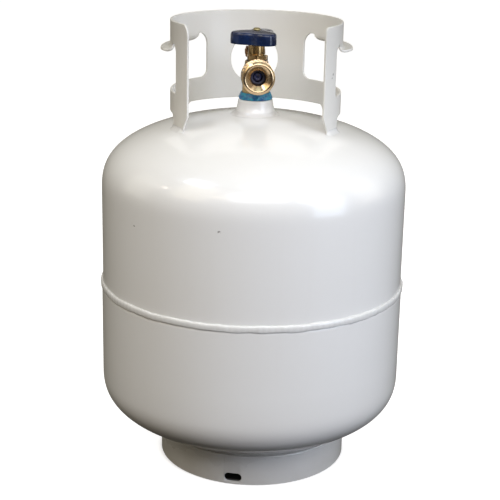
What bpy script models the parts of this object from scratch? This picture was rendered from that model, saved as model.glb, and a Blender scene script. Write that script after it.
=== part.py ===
"""Propane tank, 20 lb class, with a steel collar, a foot ring and a brass overfill-protected valve.

Frame: origin on the floor under the shell's axis, +Z up, the open side of
the collar and the valve's outlet towards -Y. All driving sizes are in millimetres
and are turned into metres by MM.
"""

import math

import bmesh
import bpy
from mathutils import Matrix, Vector

MM = 0.001
GAP = 0.3  # clearance kept between neighbouring pieces

# ---- pressure shell -------------------------------------------------------
WALL = 1.9  # steel wall of the two heads
UPPER_R, UPPER_Z, UPPER_H, UPPER_N, UPPER_M = 155.2, 287.7, 79.2, 1.69, 2.82
LOWER_R, LOWER_Z, LOWER_H, LOWER_N, LOWER_M = 156.2, 95.05, 64.6, 2.26, 2.74
SEAM_Z = 191.0  # girth joint
JOGGLE = 14.0  # how far the lower head reaches up inside the upper one
BEAD_HALF = 4.2
BEAD_R = 158.1
ROUND = 48  # sides of a turned piece of the shell

# ---- foot ring --------------------------------------------------------------
FOOT_R, FOOT_T, FOOT_TOP = 98.0, 2.6, 37.8
FOOT_X = 3.6  # the ring is welded on a little towards +X of the shell's axis
FOOT_ROUND = 48
DRAIN_AZ, DRAIN_Z, DRAIN_W, DRAIN_H = -11.2, 7.4, 18.0, 9.2

# ---- collar (az in degrees from the front, -Y, positive towards +X) ----------
COLLAR_R, COLLAR_T, COLLAR_TOP = 86.0, 2.6, 460.0
COLLAR_STEP = 8.0  # width of one bending facet, degrees
POST_AZ = {-1: 50.3, 1: 51.0}  # left (-X) and right (+X) front edge
FOOT_Z = 356.2
BAND_LOW = 367.0
REAR_FOOT = (105.0, 123.0)
FRONT_FOOT = (56.0, 71.0)
HOLE_FRONT, HOLE_LOW = 66.0, 393.5
HOLE_REAR = {-1: 142.0, 1: 143.5}
NOTCH_AZ = {-1: 136.5, 1: 138.0}  # top of the notch behind each curled tab
TAB_AZ = (73.0, 134.5)
TAB_Z = {-1: 437.0, 1: 438.5}
TAB_BEND = {-1: 6.0, 1: 5.0}
TAB_L, TAB_CURL = 14.2, math.radians(97)
BACK_HOLE_U, BACK_HOLE_Z, BACK_HOLE_R = -1.4, 409.0, 25.35

# ---- valve ------------------------------------------------------------------
VALVE_YAW = 4.0  # the outlet points a little to +X
OUTLET_Z, OUTLET_R, OUTLET_END = 407.0, 16.45, 38.0
BOSS_BORE, BOSS_TOP = 13.9, 380.9
SHANK_R, SHANK_LOW = 13.5, 340.0
BONNET_TOP = 435.8
WHEEL_LOW, WHEEL_TOP = 436.3, 449.3
WHEEL_LOBE_AT, WHEEL_LOBE_R, WHEEL_YAW = 15.8, 10.4, 6.5
STEM_R = 3.1
RELIEF_TILT = 38.0
RELIEF_TEETH = 14
RELIEF_Y, RELIEF_Z = 2.0, 411.0
BLEED_X, BLEED_Y, BLEED_SEAT = 9.5, 9.0, 417.5
FLOAT_PIVOT_Z = 305.0
TURN = 26  # sides of a turned piece of the valve


def clear_scene():
    for obj in list(bpy.data.objects):
        bpy.data.objects.remove(obj, do_unlink=True)


def material(name, colour, roughness, metallic):
    found = bpy.data.materials.get(name)
    if found:
        return found
    mat = bpy.data.materials.new(name)
    mat.use_nodes = True
    shader = mat.node_tree.nodes["Principled BSDF"]
    shader.inputs["Base Color"].default_value = (*colour, 1.0)
    shader.inputs["Roughness"].default_value = roughness
    shader.inputs["Metallic"].default_value = metallic
    return mat


WHITE = ("white_paint", (0.83, 0.82, 0.80), 0.28, 0.0)
WELD = ("painted_weld", (0.80, 0.79, 0.77), 0.34, 0.0)
BRASS = ("brass", (0.66, 0.47, 0.20), 0.26, 1.0)
BRASS_IN = ("machined_brass", (0.70, 0.52, 0.24), 0.34, 1.0)
NAVY = ("navy_lacquer", (0.012, 0.022, 0.085), 0.18, 0.0)
SEALANT = ("thread_sealant", (0.01, 0.16, 0.27), 0.42, 0.0)
RUBBER = ("black_rubber", (0.012, 0.014, 0.03), 0.55, 0.0)
STEEL = ("spring_steel", (0.55, 0.55, 0.56), 0.3, 1.0)
PLASTIC = ("float_plastic", (0.60, 0.60, 0.58), 0.5, 0.0)
FOAM = ("float_foam", (0.05, 0.05, 0.055), 0.75, 0.0)


def finish(bm, name, mat, smooth=35.0, parent=None, matrix=None, origin=None):
    """Turn a bmesh in millimetres into one named object, shaded smooth.

    origin: a point in the bmesh's own millimetres that becomes the object's origin,
    used to put a moving piece's origin on its joint axis.
    """
    bmesh.ops.recalc_face_normals(bm, faces=bm.faces)
    if bm.calc_volume(signed=True) < 0:
        bmesh.ops.reverse_faces(bm, faces=bm.faces)
    place = Vector((0, 0, 0)) if origin is None else Vector(origin)
    bm.transform(Matrix.Scale(MM, 4) @ Matrix.Translation(-place))
    mesh = bpy.data.meshes.new(name)
    bm.to_mesh(mesh)
    bm.free()
    mesh.shade_smooth()
    mesh.set_sharp_from_angle(angle=math.radians(smooth))
    obj = bpy.data.objects.new(name, mesh)
    bpy.context.scene.collection.objects.link(obj)
    if mat:
        mesh.materials.append(material(*mat))
    if parent:
        obj.parent = parent
    obj.location = place * MM
    if matrix is not None:
        obj.matrix_basis = matrix
    return obj


def turned(profile, sides=TURN, start=0.0):
    """A closed body turned about Z from a closed profile of (r, z) points."""
    bm = bmesh.new()
    rings = []
    for r, z in profile:
        if r < 1e-6:
            rings.append([bm.verts.new((0, 0, z))])
        else:
            rings.append(
                [
                    bm.verts.new(
                        (
                            r * math.sin(start + 2 * math.pi * k / sides),
                            -r * math.cos(start + 2 * math.pi * k / sides),
                            z,
                        )
                    )
                    for k in range(sides)
                ]
            )
    count = len(rings)
    for i in range(count):
        a, b = rings[i], rings[(i + 1) % count]
        if len(a) == 1 and len(b) == 1:
            continue
        for k in range(sides):
            j = (k + 1) % sides
            if len(a) == 1:
                bm.faces.new((a[0], b[k], b[j]))
            elif len(b) == 1:
                bm.faces.new((a[k], b[0], a[j]))
            else:
                bm.faces.new((a[k], b[k], b[j], a[j]))
    return bm


def loft(rings):
    """A closed body through equal rings of points, with flat ends."""
    bm = bmesh.new()
    made = [[bm.verts.new(p) for p in ring] for ring in rings]
    n = len(rings[0])
    for a, b in zip(made, made[1:]):
        for k in range(n):
            j = (k + 1) % n
            bm.faces.new((a[k], a[j], b[j], b[k]))
    bm.faces.new(made[0])
    bm.faces.new(made[-1])
    return bm


def box(low, high):
    xs, ys, zs = zip(low, high)
    ring = [(xs[0], ys[0]), (xs[1], ys[0]), (xs[1], ys[1]), (xs[0], ys[1])]
    return loft([[(x, y, z) for x, y in ring] for z in zs])


def helper(bm, name, parent=None, matrix=None):
    """A cutting body: kept in the file, left out of the model."""
    obj = finish(bm, name, None, parent=parent, matrix=matrix)
    obj.hide_render = True
    obj.display_type = "WIRE"
    return obj


def boolean(obj, other, operation="DIFFERENCE"):
    mod = obj.modifiers.new(other.name, "BOOLEAN")
    mod.object = other
    mod.operation = operation
    mod.solver = "EXACT"


def upper_outside(r):
    return UPPER_Z + UPPER_H * max(0.0, 1 - (r / UPPER_R) ** UPPER_N) ** (1 / UPPER_M)


def lower_outside(r):
    return LOWER_Z - LOWER_H * max(0.0, 1 - (r / LOWER_R) ** LOWER_N) ** (1 / LOWER_M)


def dome_radii(radius, inner, count):
    """Radii from the rim to the inner radius, closer together where the wall turns."""
    out = []
    for i in range(count + 1):
        u = i / count
        out.append(inner + (radius - inner) * math.cos(u * math.pi / 2) ** 0.62)
    out[-1] = inner
    return out


def make_shell():
    # Upper head: a deep cup, open at the bottom, with the hole for the valve boss.
    hole = 16.7
    outer = [(UPPER_R, SEAM_Z + 1.0), (UPPER_R, UPPER_Z)]
    for r in dome_radii(UPPER_R, hole, 10)[1:]:
        outer.append((r, upper_outside(r)))
    inner_r = UPPER_R - WALL
    scale = (UPPER_H - WALL) / UPPER_H

    def inside(r):
        return UPPER_Z + UPPER_H * scale * max(0.0, 1 - (r / inner_r) ** UPPER_N) ** (
            1 / UPPER_M
        )

    inner = [(hole, inside(hole))]
    for r in reversed(dome_radii(inner_r, hole, 6)[:-1]):
        inner.append((r, inside(r)) if r < inner_r - 1e-6 else (r, UPPER_Z))
    inner.append((inner_r, SEAM_Z + 1.0))
    finish(turned(outer + inner, ROUND), "upper_head", WHITE, smooth=30)

    # Lower head: its rim is joggled inwards and backs the girth weld.
    rim_r = inner_r - GAP
    outer = [(rim_r, SEAM_Z + JOGGLE), (rim_r, SEAM_Z + 0.6), (LOWER_R, SEAM_Z - 3.0)]
    outer.append((LOWER_R, LOWER_Z))
    for r in dome_radii(LOWER_R, 0.0, 11)[1:]:
        outer.append((r, lower_outside(r)))
    in_r = LOWER_R - WALL
    scale = (LOWER_H - WALL) / LOWER_H
    inner = [(0.0, LOWER_Z - LOWER_H * scale)]
    for r in reversed(dome_radii(in_r, 0.0, 6)[:-1]):
        z = LOWER_Z - LOWER_H * scale * max(0.0, 1 - (r / in_r) ** LOWER_N) ** (
            1 / LOWER_M
        )
        inner.append((r, z))
    inner += [(in_r, SEAM_Z - 6.0), (rim_r - WALL, SEAM_Z + 0.6)]
    inner.append((rim_r - WALL, SEAM_Z + JOGGLE))
    finish(turned(outer + inner, ROUND), "lower_head", WHITE, smooth=30)

    # Girth weld bead, lying on both heads over the joint.
    low = LOWER_R + GAP
    bead = [
        (UPPER_R + GAP, SEAM_Z + 1.2),
        (UPPER_R + GAP, SEAM_Z + BEAD_HALF),
        (UPPER_R + 1.5, SEAM_Z + BEAD_HALF - 0.3),
        (BEAD_R - 0.4, SEAM_Z + 2.4),
        (BEAD_R, SEAM_Z),
        (BEAD_R - 0.2, SEAM_Z - 2.4),
        (low + 0.7, SEAM_Z - BEAD_HALF),
        (low, SEAM_Z - BEAD_HALF),
        (low, SEAM_Z - 2.6),
    ]
    finish(turned(bead, ROUND), "girth_weld_bead", WELD)


def make_foot():
    body = turned(
        [
            (FOOT_R - 0.5, 0.0),
            (FOOT_R, 0.6),
            (FOOT_R, FOOT_TOP),
            (FOOT_R - FOOT_T, FOOT_TOP),
            (FOOT_R - FOOT_T, 0.6),
            (FOOT_R - FOOT_T + 0.4, 0.0),
        ],
        FOOT_ROUND,
    )
    for v in body.verts:
        v.co.x += FOOT_X
    ring = finish(body, "foot_ring", WHITE)
    # Oblong drain slot near the front.
    half = DRAIN_W / 2 - DRAIN_H / 2
    outline = []
    for k in range(8):
        a = math.radians(-90 + 180 * k / 7)
        outline.append((half + DRAIN_H / 2 * math.cos(a), DRAIN_H / 2 * math.sin(a)))
    outline += [(-x, -z) for x, z in outline]
    cutter = loft([[(x, y, z) for x, z in outline] for y in (-110.0, -80.0)])
    turn = Matrix.Rotation(math.radians(DRAIN_AZ), 4, "Z")
    lift = Matrix.Translation((FOOT_X * MM, 0, DRAIN_Z * MM))
    boolean(ring, helper(cutter, "drain_slot_cutter", matrix=lift @ turn))

    # Weld bead: its top follows the shell, which stands off the ring unevenly.
    inner = FOOT_R + GAP + 0.1
    bm = bmesh.new()
    rows = []
    for k in range(FOOT_ROUND):
        a = 2 * math.pi * k / FOOT_ROUND
        row = []
        for r, z in (
            (inner, 34.4),
            (inner + 1.5, 35.3),
            (inner + 2.7, 37.0),
            (inner + 4.3, None),
            (inner, None),
        ):
            x, y = FOOT_X + r * math.sin(a), -r * math.cos(a)
            if z is None:
                z = lower_outside(math.hypot(x, y)) - 0.5
            row.append(bm.verts.new((x, y, z)))
        rows.append(row)
    for k in range(FOOT_ROUND):
        one, two = rows[k], rows[(k + 1) % FOOT_ROUND]
        for i in range(5):
            j = (i + 1) % 5
            bm.faces.new((one[i], two[i], two[j], one[j]))
    finish(bm, "foot_ring_weld", WELD)


def arc(cx, cz, rx, rz, a0, a1, steps):
    out = []
    for k in range(steps + 1):
        a = math.radians(a0 + (a1 - a0) * k / steps)
        out.append((cx + rx * math.cos(a), cz + rz * math.sin(a)))
    return out


def collar_pattern():
    """The collar as a flat blank: outline and holes in (degrees from the back, z).

    u = 0 is the back of the tank and u = 180 - az on either side.
    """
    deg = math.degrees(1 / (COLLAR_R - COLLAR_T / 2))  # degrees per millimetre
    r = 6.0
    rear_in, rear_out = 180 - REAR_FOOT[1], 180 - REAR_FOOT[0]
    side_out = 180 - FRONT_FOOT[1]

    def half(post, corner):
        side = [(rear_in - r * deg, BAND_LOW)]
        side += arc(
            rear_in - r * deg, BAND_LOW - r, r * deg, r, 90, 0, 3
        )[1:]
        side += [(rear_in, FOOT_Z), (rear_out, FOOT_Z), (rear_out, BAND_LOW - r + 2)]
        side += arc(rear_out + r * deg, BAND_LOW - r + 2, r * deg, r, 180, 90, 3)[1:]
        side += arc(side_out - r * deg, BAND_LOW - r + 2, r * deg, r, 90, 0, 3)
        side += [(side_out, FOOT_Z), (180 - FRONT_FOOT[0], FOOT_Z)]
        side += [(post - 5.0, 358.0), (post, 371.0)]
        side += corner
        return side

    post = 180 - POST_AZ[-1]
    left = half(post, arc(post - 5.0, 448.0, 5.0, 12.0, 0, 90, 5))
    post = 180 - POST_AZ[1]
    right = half(post, arc(post - 3.5, 454.5, 3.5, 5.5, 0, 90, 4))
    outline = right + [(-u, z) for u, z in reversed(left)]

    def hand(side):
        front, rear = 180 - HOLE_FRONT, 180 - HOLE_REAR[side]
        tab_f, tab_r, top = 180 - TAB_AZ[0], 180 - TAB_AZ[1], TAB_Z[side]
        bottom = top - TAB_L
        q = 8.0
        loop = arc(rear + q * deg, HOLE_LOW + q - 2.1, q * deg, q, 180, 270, 4)
        loop += arc(front - 3 * deg, HOLE_LOW - 0.1, 3 * deg, 3, 270, 360, 2)
        loop += [(front, top - 5.5), (front - 4.5, top + 1.8), (tab_f, top)]
        loop += arc(tab_f - 16 * deg, bottom + 12, 16 * deg, 12, 0, -90, 5)
        loop += arc(tab_r + 22 * deg, bottom + 12, 22 * deg, 12, 270, 180, 5)
        loop += [(tab_r, top), (180 - NOTCH_AZ[side], top + 0.4)]
        loop += [(rear + 1.6, top - 3.6), (rear, 427.5)]
        return [(side * u, z) for u, z in loop]

    back = arc(
        BACK_HOLE_U, BACK_HOLE_Z, BACK_HOLE_R * deg, BACK_HOLE_R, 0, 360, 24
    )[:-1]
    return outline, [hand(1), hand(-1), back]


def make_collar():
    outline, holes = collar_pattern()
    mid = COLLAR_R - COLLAR_T / 2
    bm = bmesh.new()
    edges = []
    for loop in [outline] + holes:
        verts = [bm.verts.new((u, 0, z)) for u, z in loop]
        edges += [bm.edges.new((a, b)) for a, b in zip(verts, verts[1:] + verts[:1])]
    bmesh.ops.triangle_fill(bm, use_beauty=True, use_dissolve=True, edges=edges)
    # Bending lines, one for each facet of the rolled sheet.
    count = int((180 - POST_AZ[-1]) / COLLAR_STEP)
    for k in range(-count, count + 1):
        geom = bm.verts[:] + bm.edges[:] + bm.faces[:]
        bmesh.ops.bisect_plane(
            bm, geom=geom, dist=1e-4, plane_co=(k * COLLAR_STEP, 0, 0), plane_no=(1, 0, 0)
        )
    # Lines across the two tabs, where they curl outwards and a little upwards.
    tab_lo, tab_hi = 180 - TAB_AZ[1], 180 - TAB_AZ[0]
    for side, k in [(side, k) for side in (-1, 1) for k in range(6)]:
        level = TAB_Z[side] - TAB_BEND[side] * TAB_CURL * k / 5
        faces = [
            f
            for f in bm.faces
            if tab_lo < side * f.calc_center_median().x < tab_hi
            and min(v.co.z for v in f.verts) < level - 1e-3
            and max(v.co.z for v in f.verts) > TAB_Z[side] - TAB_L - 0.01
            and f.calc_center_median().z > 405
        ]
        geom = faces + list({e for f in faces for e in f.edges})
        geom += list({v for f in faces for v in f.verts})
        bmesh.ops.bisect_plane(
            bm, geom=geom, dist=1e-4, plane_co=(0, 0, level), plane_no=(0, 0, 1)
        )
    front = bm.faces[:]
    flat = bmesh.ops.extrude_face_region(bm, geom=front)
    for v in flat["geom"]:
        if isinstance(v, bmesh.types.BMVert):
            v.co.y = COLLAR_T
    for v in bm.verts:
        u, t, z = v.co
        r = mid
        off_r, off_z = t - COLLAR_T / 2, 0.0
        side = 1 if u > 0 else -1
        if tab_lo - 0.01 < abs(u) < tab_hi + 0.01 and 405 < z < TAB_Z[side]:
            length, bend = TAB_Z[side] - z, TAB_BEND[side]
            phi = min(length / bend, TAB_CURL)
            rest = max(0.0, length - bend * TAB_CURL)
            r += bend * (1 - math.cos(phi)) + rest * math.sin(phi)
            z = TAB_Z[side] - bend * math.sin(phi) - rest * math.cos(phi)
            off_r, off_z = off_r * math.cos(phi), off_r * math.sin(phi)
        az = math.radians(180 - u)
        r += off_r
        v.co = (r * math.sin(az), -r * math.cos(az), z + off_z)
    finish(bm, "collar_guard", WHITE, smooth=40)

    # Fillet welds along the outside of the four feet.
    for name, lo, hi in (
        ("collar_weld_front_right", 55.5, 71.5),
        ("collar_weld_front_left", -71.5, -55.5),
        ("collar_weld_rear_right", 104.5, 123.5),
        ("collar_weld_rear_left", -123.5, -104.5),
    ):
        rings = []
        for k in range(9):
            az = math.radians(lo + (hi - lo) * k / 8)
            fat = 0.55 + 0.45 * math.sin(math.pi * k / 8)
            base = COLLAR_R + GAP
            r2 = base + 4.2 * fat
            profile = [
                (base, upper_outside(base) + 0.35),
                (r2, upper_outside(r2) + 0.35),
                (base + 2.6 * fat, upper_outside(base) + 2.9 * fat),
                (base, upper_outside(base) + 5.2 * fat),
            ]
            rings.append(
                [(r * math.sin(az), -r * math.cos(az), z) for r, z in profile]
            )
        finish(loft(rings), name, WELD, smooth=50)


def make_boss():
    finish(
        turned(
            [
                (BOSS_BORE, 352.0),
                (16.3, 352.0),
                (16.3, 366.75),
                (20.0, 366.75),
                (19.8, 369.4),
                (18.5, 372.6),
                (17.8, 376.5),
                (17.6, 380.0),
                (17.0, BOSS_TOP),
                (BOSS_BORE, BOSS_TOP),
            ],
            32,
        ),
        "valve_boss",
        WHITE,
    )
    finish(
        turned(
            [
                (20.35, 366.5),
                (20.3, 370.0),
                (21.0, 370.2),
                (22.4, 368.6),
                (24.7, upper_outside(24.7) + 0.6),
                (24.7, upper_outside(24.7) + 0.35),
            ],
            32,
        ),
        "boss_weld",
        WELD,
    )
    finish(
        turned(
            [
                (BOSS_BORE, 381.25),
                (16.3, 381.25),
                (16.8, 382.6),
                (16.4, 384.6),
                (15.5, 386.8),
                (15.2, 387.9),
                (BOSS_BORE, 387.9),
            ],
            28,
        ),
        "thread_seal_ring",
        SEALANT,
    )


def tilted(name, profile, mat, parent, sides=TURN, smooth=35.0):
    """A turned piece on the relief valve's axis: profile is (r, distance along it)."""
    turn = Matrix.Rotation(-math.radians(90 - RELIEF_TILT), 4, "X")
    move = Matrix.Translation(Vector((0, RELIEF_Y, RELIEF_Z)) * MM)
    return finish(
        turned(profile, sides), name, mat, smooth, parent=parent, matrix=move @ turn
    )


def lying(name, profile, mat, parent, sides=TURN, smooth=35.0):
    """A turned piece on the outlet's axis: profile is (r, distance from the valve's axis)."""
    turn = Matrix.Rotation(math.radians(90), 4, "X")
    move = Matrix.Translation(Vector((0, 0, OUTLET_Z)) * MM)
    return finish(
        turned(profile, sides), name, mat, smooth, parent=parent, matrix=move @ turn
    )


def upright(name, profile, mat, parent, sides=TURN, smooth=35.0):
    """A turned piece on the bleeder's upright axis: profile is (r, z)."""
    move = Matrix.Translation(Vector((BLEED_X, BLEED_Y, 0)) * MM)
    return finish(turned(profile, sides), name, mat, smooth, parent=parent, matrix=move)


def as_cutter(obj):
    obj.hide_render = True
    obj.display_type = "WIRE"
    return obj


def make_valve_body(valve):
    body = finish(
        turned(
            [
                (0.0, SHANK_LOW),
                (12.4, SHANK_LOW),
                (12.9, SHANK_LOW + 2),
                (SHANK_R, 384.0),
                (SHANK_R, 398.0),
                (12.6, 404.0),
                (12.6, 413.5),
                (11.0, 415.2),
                (11.0, 419.3),
                (0.0, 419.3),
            ],
            TURN,
        ),
        "valve_body",
        BRASS,
        parent=valve,
    )
    added = [
        lying(
            "outlet_stock",
            [
                (0, 0),
                (14.4, 0),
                (14.4, 14.6),
                (OUTLET_R, 15.8),
                (OUTLET_R, OUTLET_END - 1.9),
                (14.0, OUTLET_END),
                (0, OUTLET_END),
            ],
            None,
            valve,
            32,
        ),
        tilted("relief_stock", [(0, 0), (8.4, 0), (8.4, 20.0), (0, 20.0)], None, valve),
        upright(
            "bleeder_stock",
            [(0, 404.0), (2.0, 404.0), (3.5, 407.5), (3.5, BLEED_SEAT), (0, BLEED_SEAT)],
            None,
            valve,
            20,
        ),
    ]
    for other in added:
        boolean(body, as_cutter(other), "UNION")
    cut = [
        # spot face that clears the bonnet's hexagon
        helper(
            turned([(0, 419.3), (10.7, 419.3), (10.7, 440.0), (0, 440.0)], 24),
            "bonnet_spot_face",
            parent=valve,
        ),
        # vertical bores: bonnet seat, chamber and inlet
        helper(
            turned(
                [
                    (0, 330.0),
                    (3.6, 330.0),
                    (3.6, 399.0),
                    (7.0, 399.0),
                    (7.0, 412.2),
                    (8.0, 412.2),
                    (8.0, 425.0),
                    (0, 425.0),
                ],
                24,
            ),
            "main_bore",
            parent=valve,
        ),
        as_cutter(
            lying(
                "outlet_bore",
                [
                    (0, 0.0),
                    (5.0, 0.0),
                    (5.0, 12.0),
                    (7.7, 12.0),
                    (7.7, 33.6),
                    (12.4, OUTLET_END + 0.2),
                    (12.4, 45.0),
                    (0, 45.0),
                ],
                None,
                valve,
                24,
            )
        ),
        as_cutter(
            tilted(
                "relief_bore", [(0, 17.0), (5.0, 17.0), (5.0, 30.0), (0, 30.0)], None, valve, 20
            )
        ),
        # bleeder: a tapped hole, and the spot face its head turns on
        as_cutter(
            upright(
                "bleeder_bore",
                [
                    (0, 409.6),
                    (1.9, 409.6),
                    (1.9, BLEED_SEAT),
                    (3.2, BLEED_SEAT),
                    (3.2, 440.0),
                    (0, 440.0),
                ],
                None,
                valve,
                18,
            )
        ),
    ]
    # drilled way from the tank to the relief seat: one hole up the shank, one slanting
    way = turned([(0, 330.0), (1.3, 330.0), (1.3, 415.6), (0, 415.6)], 10)
    for v in way.verts:
        v.co.y += 9.8
    cut.append(helper(way, "relief_way", parent=valve))
    slant = turned([(0, -1.0), (1.3, -1.0), (1.3, 8.6), (0, 8.6)], 10)
    place = Matrix.Translation(Vector((0, 9.8, 414.6)) * MM)
    cut.append(
        helper(
            slant,
            "relief_way_slant",
            parent=valve,
            matrix=place @ Matrix.Rotation(math.radians(-43), 4, "X"),
        )
    )
    for other in cut:
        boolean(body, other)
    return body


def hexagon(flat, z0, z1, bore_r, sides=18):
    """A hexagonal nut with a round through bore."""
    outer = loft(
        [
            [
                (
                    flat / math.sqrt(3) * math.sin(math.radians(60 * k)),
                    -flat / math.sqrt(3) * math.cos(math.radians(60 * k)),
                    z,
                )
                for k in range(6)
            ]
            for z in (z0, z1)
        ]
    )
    return outer


def make_bonnet(valve):
    bonnet = finish(hexagon(17.6, 419.7, 425.2, 0), "valve_bonnet", BRASS, parent=valve)
    plug = helper(
        turned(
            [
                (0, 412.8),
                (7.3, 412.8),
                (7.7, 413.4),
                (7.7, 421.0),
                (8.35, 424.0),
                (8.35, BONNET_TOP - 0.6),
                (7.8, BONNET_TOP),
                (0, BONNET_TOP),
            ],
            28,
        ),
        "bonnet_stock",
        parent=valve,
    )
    bore = helper(
        turned([(0, 405.0), (STEM_R + GAP, 405.0), (STEM_R + GAP, 445.0), (0, 445.0)], 20),
        "bonnet_bore",
        parent=valve,
    )
    groove = helper(
        turned(
            [(2.9, 421.0), (5.0, 421.0), (5.0, 427.4), (2.9, 427.4)],
            20,
        ),
        "bonnet_groove",
        parent=valve,
    )
    boolean(bonnet, plug, "UNION")
    boolean(bonnet, bore)
    boolean(bonnet, groove)


def wheel_outline(at, radius, per_lobe=9):
    """A triangle of three round lobes, one roughly towards -X."""
    points = []
    for lobe in (WHEEL_YAW - 90, WHEEL_YAW + 30, WHEEL_YAW + 150):
        cx = at * math.sin(math.radians(lobe))
        cy = -at * math.cos(math.radians(lobe))
        for k in range(per_lobe):
            a = math.radians(lobe - 60 + 120 * k / (per_lobe - 1))
            points.append((cx + radius * math.sin(a), cy - radius * math.cos(a)))
    return points


def make_stem_parts():
    # Stem: threaded spindle that lifts the seat carrier; the handwheel sits on its square end.
    finish(
        turned(
            [
                (0, 408.4),
                (STEM_R, 408.4),
                (STEM_R, 421.3),
                (2.4, 421.3),
                (2.4, 424.0),
                (STEM_R, 424.0),
                (STEM_R, 436.2),
                (2.6, 436.2),
                (2.6, 448.2),
                (1.9, 448.2),
                (1.9, 440.0),
                (0, 440.0),
            ],
            20,
        ),
        "valve_stem",
        BRASS_IN,
        origin=(0, 0, 408.4),
    )
    finish(
        turned(
            [
                (
                    3.7 + 1.0 * math.cos(math.radians(45 * k)),
                    422.6 + 1.0 * math.sin(math.radians(45 * k)),
                )
                for k in range(8)
            ],
            20,
        ),
        "stem_o_ring",
        RUBBER,
        origin=(0, 0, 422.6),
    )
    rings = []
    for z, at, r in (
        (WHEEL_LOW, WHEEL_LOBE_AT, WHEEL_LOBE_R - 1.3),
        (WHEEL_LOW + 1.0, WHEEL_LOBE_AT, WHEEL_LOBE_R - 0.2),
        (WHEEL_LOW + 3.0, WHEEL_LOBE_AT, WHEEL_LOBE_R),
        (WHEEL_TOP - 2.6, WHEEL_LOBE_AT, WHEEL_LOBE_R),
        (WHEEL_TOP - 1.2, WHEEL_LOBE_AT, WHEEL_LOBE_R - 0.7),
        (WHEEL_TOP - 0.5, WHEEL_LOBE_AT - 0.4, WHEEL_LOBE_R - 2.2),
        (WHEEL_TOP, WHEEL_LOBE_AT - 4.0, WHEEL_LOBE_R - 4.5),
    ):
        rings.append([(x, y, z) for x, y in wheel_outline(at, r)])
    wheel = finish(loft(rings), "handwheel", NAVY, smooth=50, origin=(0, 0, WHEEL_LOW))
    hub = helper(
        turned([(0, 430.0), (2.9, 430.0), (2.9, 455.0), (0, 455.0)], 20), "hub_bore"
    )
    boolean(wheel, hub)
    finish(
        turned(
            [
                (0, 441.0),
                (1.6, 441.0),
                (1.6, 449.6),
                (3.9, 449.6),
                (3.9, 450.6),
                (3.1, 451.6),
                (1.6, 452.1),
                (0, 452.2),
            ],
            20,
        ),
        "handwheel_screw",
        BRASS,
        origin=(0, 0, 441.0),
    )
    # Seat carrier under the stem, holding the rubber seat disc.
    finish(
        turned(
            [
                (0, 402.2),
                (5.4, 402.2),
                (5.4, 400.2),
                (6.3, 400.2),
                (6.3, 406.6),
                (5.6, 408.1),
                (0, 408.1),
            ],
            22,
        ),
        "seat_carrier",
        BRASS_IN,
        origin=(0, 0, 400.2),
    )
    finish(
        turned([(0, 399.3), (5.1, 399.3), (5.1, 401.9), (0, 401.9)], 22),
        "seat_disc",
        RUBBER,
        origin=(0, 0, 399.3),
    )
    finish(
        turned([(8.5, 419.45), (8.5, 419.6), (10.3, 419.6), (10.3, 419.45)], 22),
        "bonnet_seal_ring",
        RUBBER,
    )


def coil(name, radius, wire, start, end, turns, mat, matrix, parent, sides=5, per_turn=12):
    """A compression spring about its own Z, from start to end."""
    count = int(turns * per_turn)
    rings = []
    for k in range(count + 1):
        f = k / count
        a = 2 * math.pi * turns * f
        z = start + wire + (end - start - 2 * wire) * f
        centre = Vector((radius * math.cos(a), radius * math.sin(a), z))
        out = Vector((math.cos(a), math.sin(a), 0))
        slope = (end - start - 2 * wire) / (2 * math.pi * turns)
        along = Vector((-radius * math.sin(a), radius * math.cos(a), slope)).normalized()
        up = along.cross(out)
        rings.append(
            [
                centre
                + wire * math.cos(2 * math.pi * j / sides) * out
                + wire * math.sin(2 * math.pi * j / sides) * up
                for j in range(sides)
            ]
        )
    return finish(loft(rings), name, mat, smooth=60, parent=parent, matrix=matrix)


def make_outlet_parts(valve):
    lying(
        "outlet_seal_ring",
        [
            (4.9, 22.2),
            (7.35, 22.2),
            (7.35, 27.4),
            (6.9, 27.9),
            (5.3, 27.9),
            (4.9, 27.4),
        ],
        RUBBER,
        valve,
    )
    turn = Matrix.Rotation(math.radians(90), 4, "X")
    move = Matrix.Translation(Vector((0, 0, OUTLET_Z)) * MM)
    lying(
        "check_poppet",
        [
            (0, 12.4),
            (1.3, 12.4),
            (1.3, 20.2),
            (6.4, 20.2),
            (6.4, 21.6),
            (4.4, 21.9),
            (4.4, 25.4),
            (3.4, 26.4),
            (1.2, 26.4),
            (1.0, 25.2),
            (0, 25.2),
        ],
        RUBBER,
        valve,
    )
    coil("check_spring", 4.4, 0.4, 12.3, 19.9, 4, STEEL, move @ turn, valve)


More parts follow.
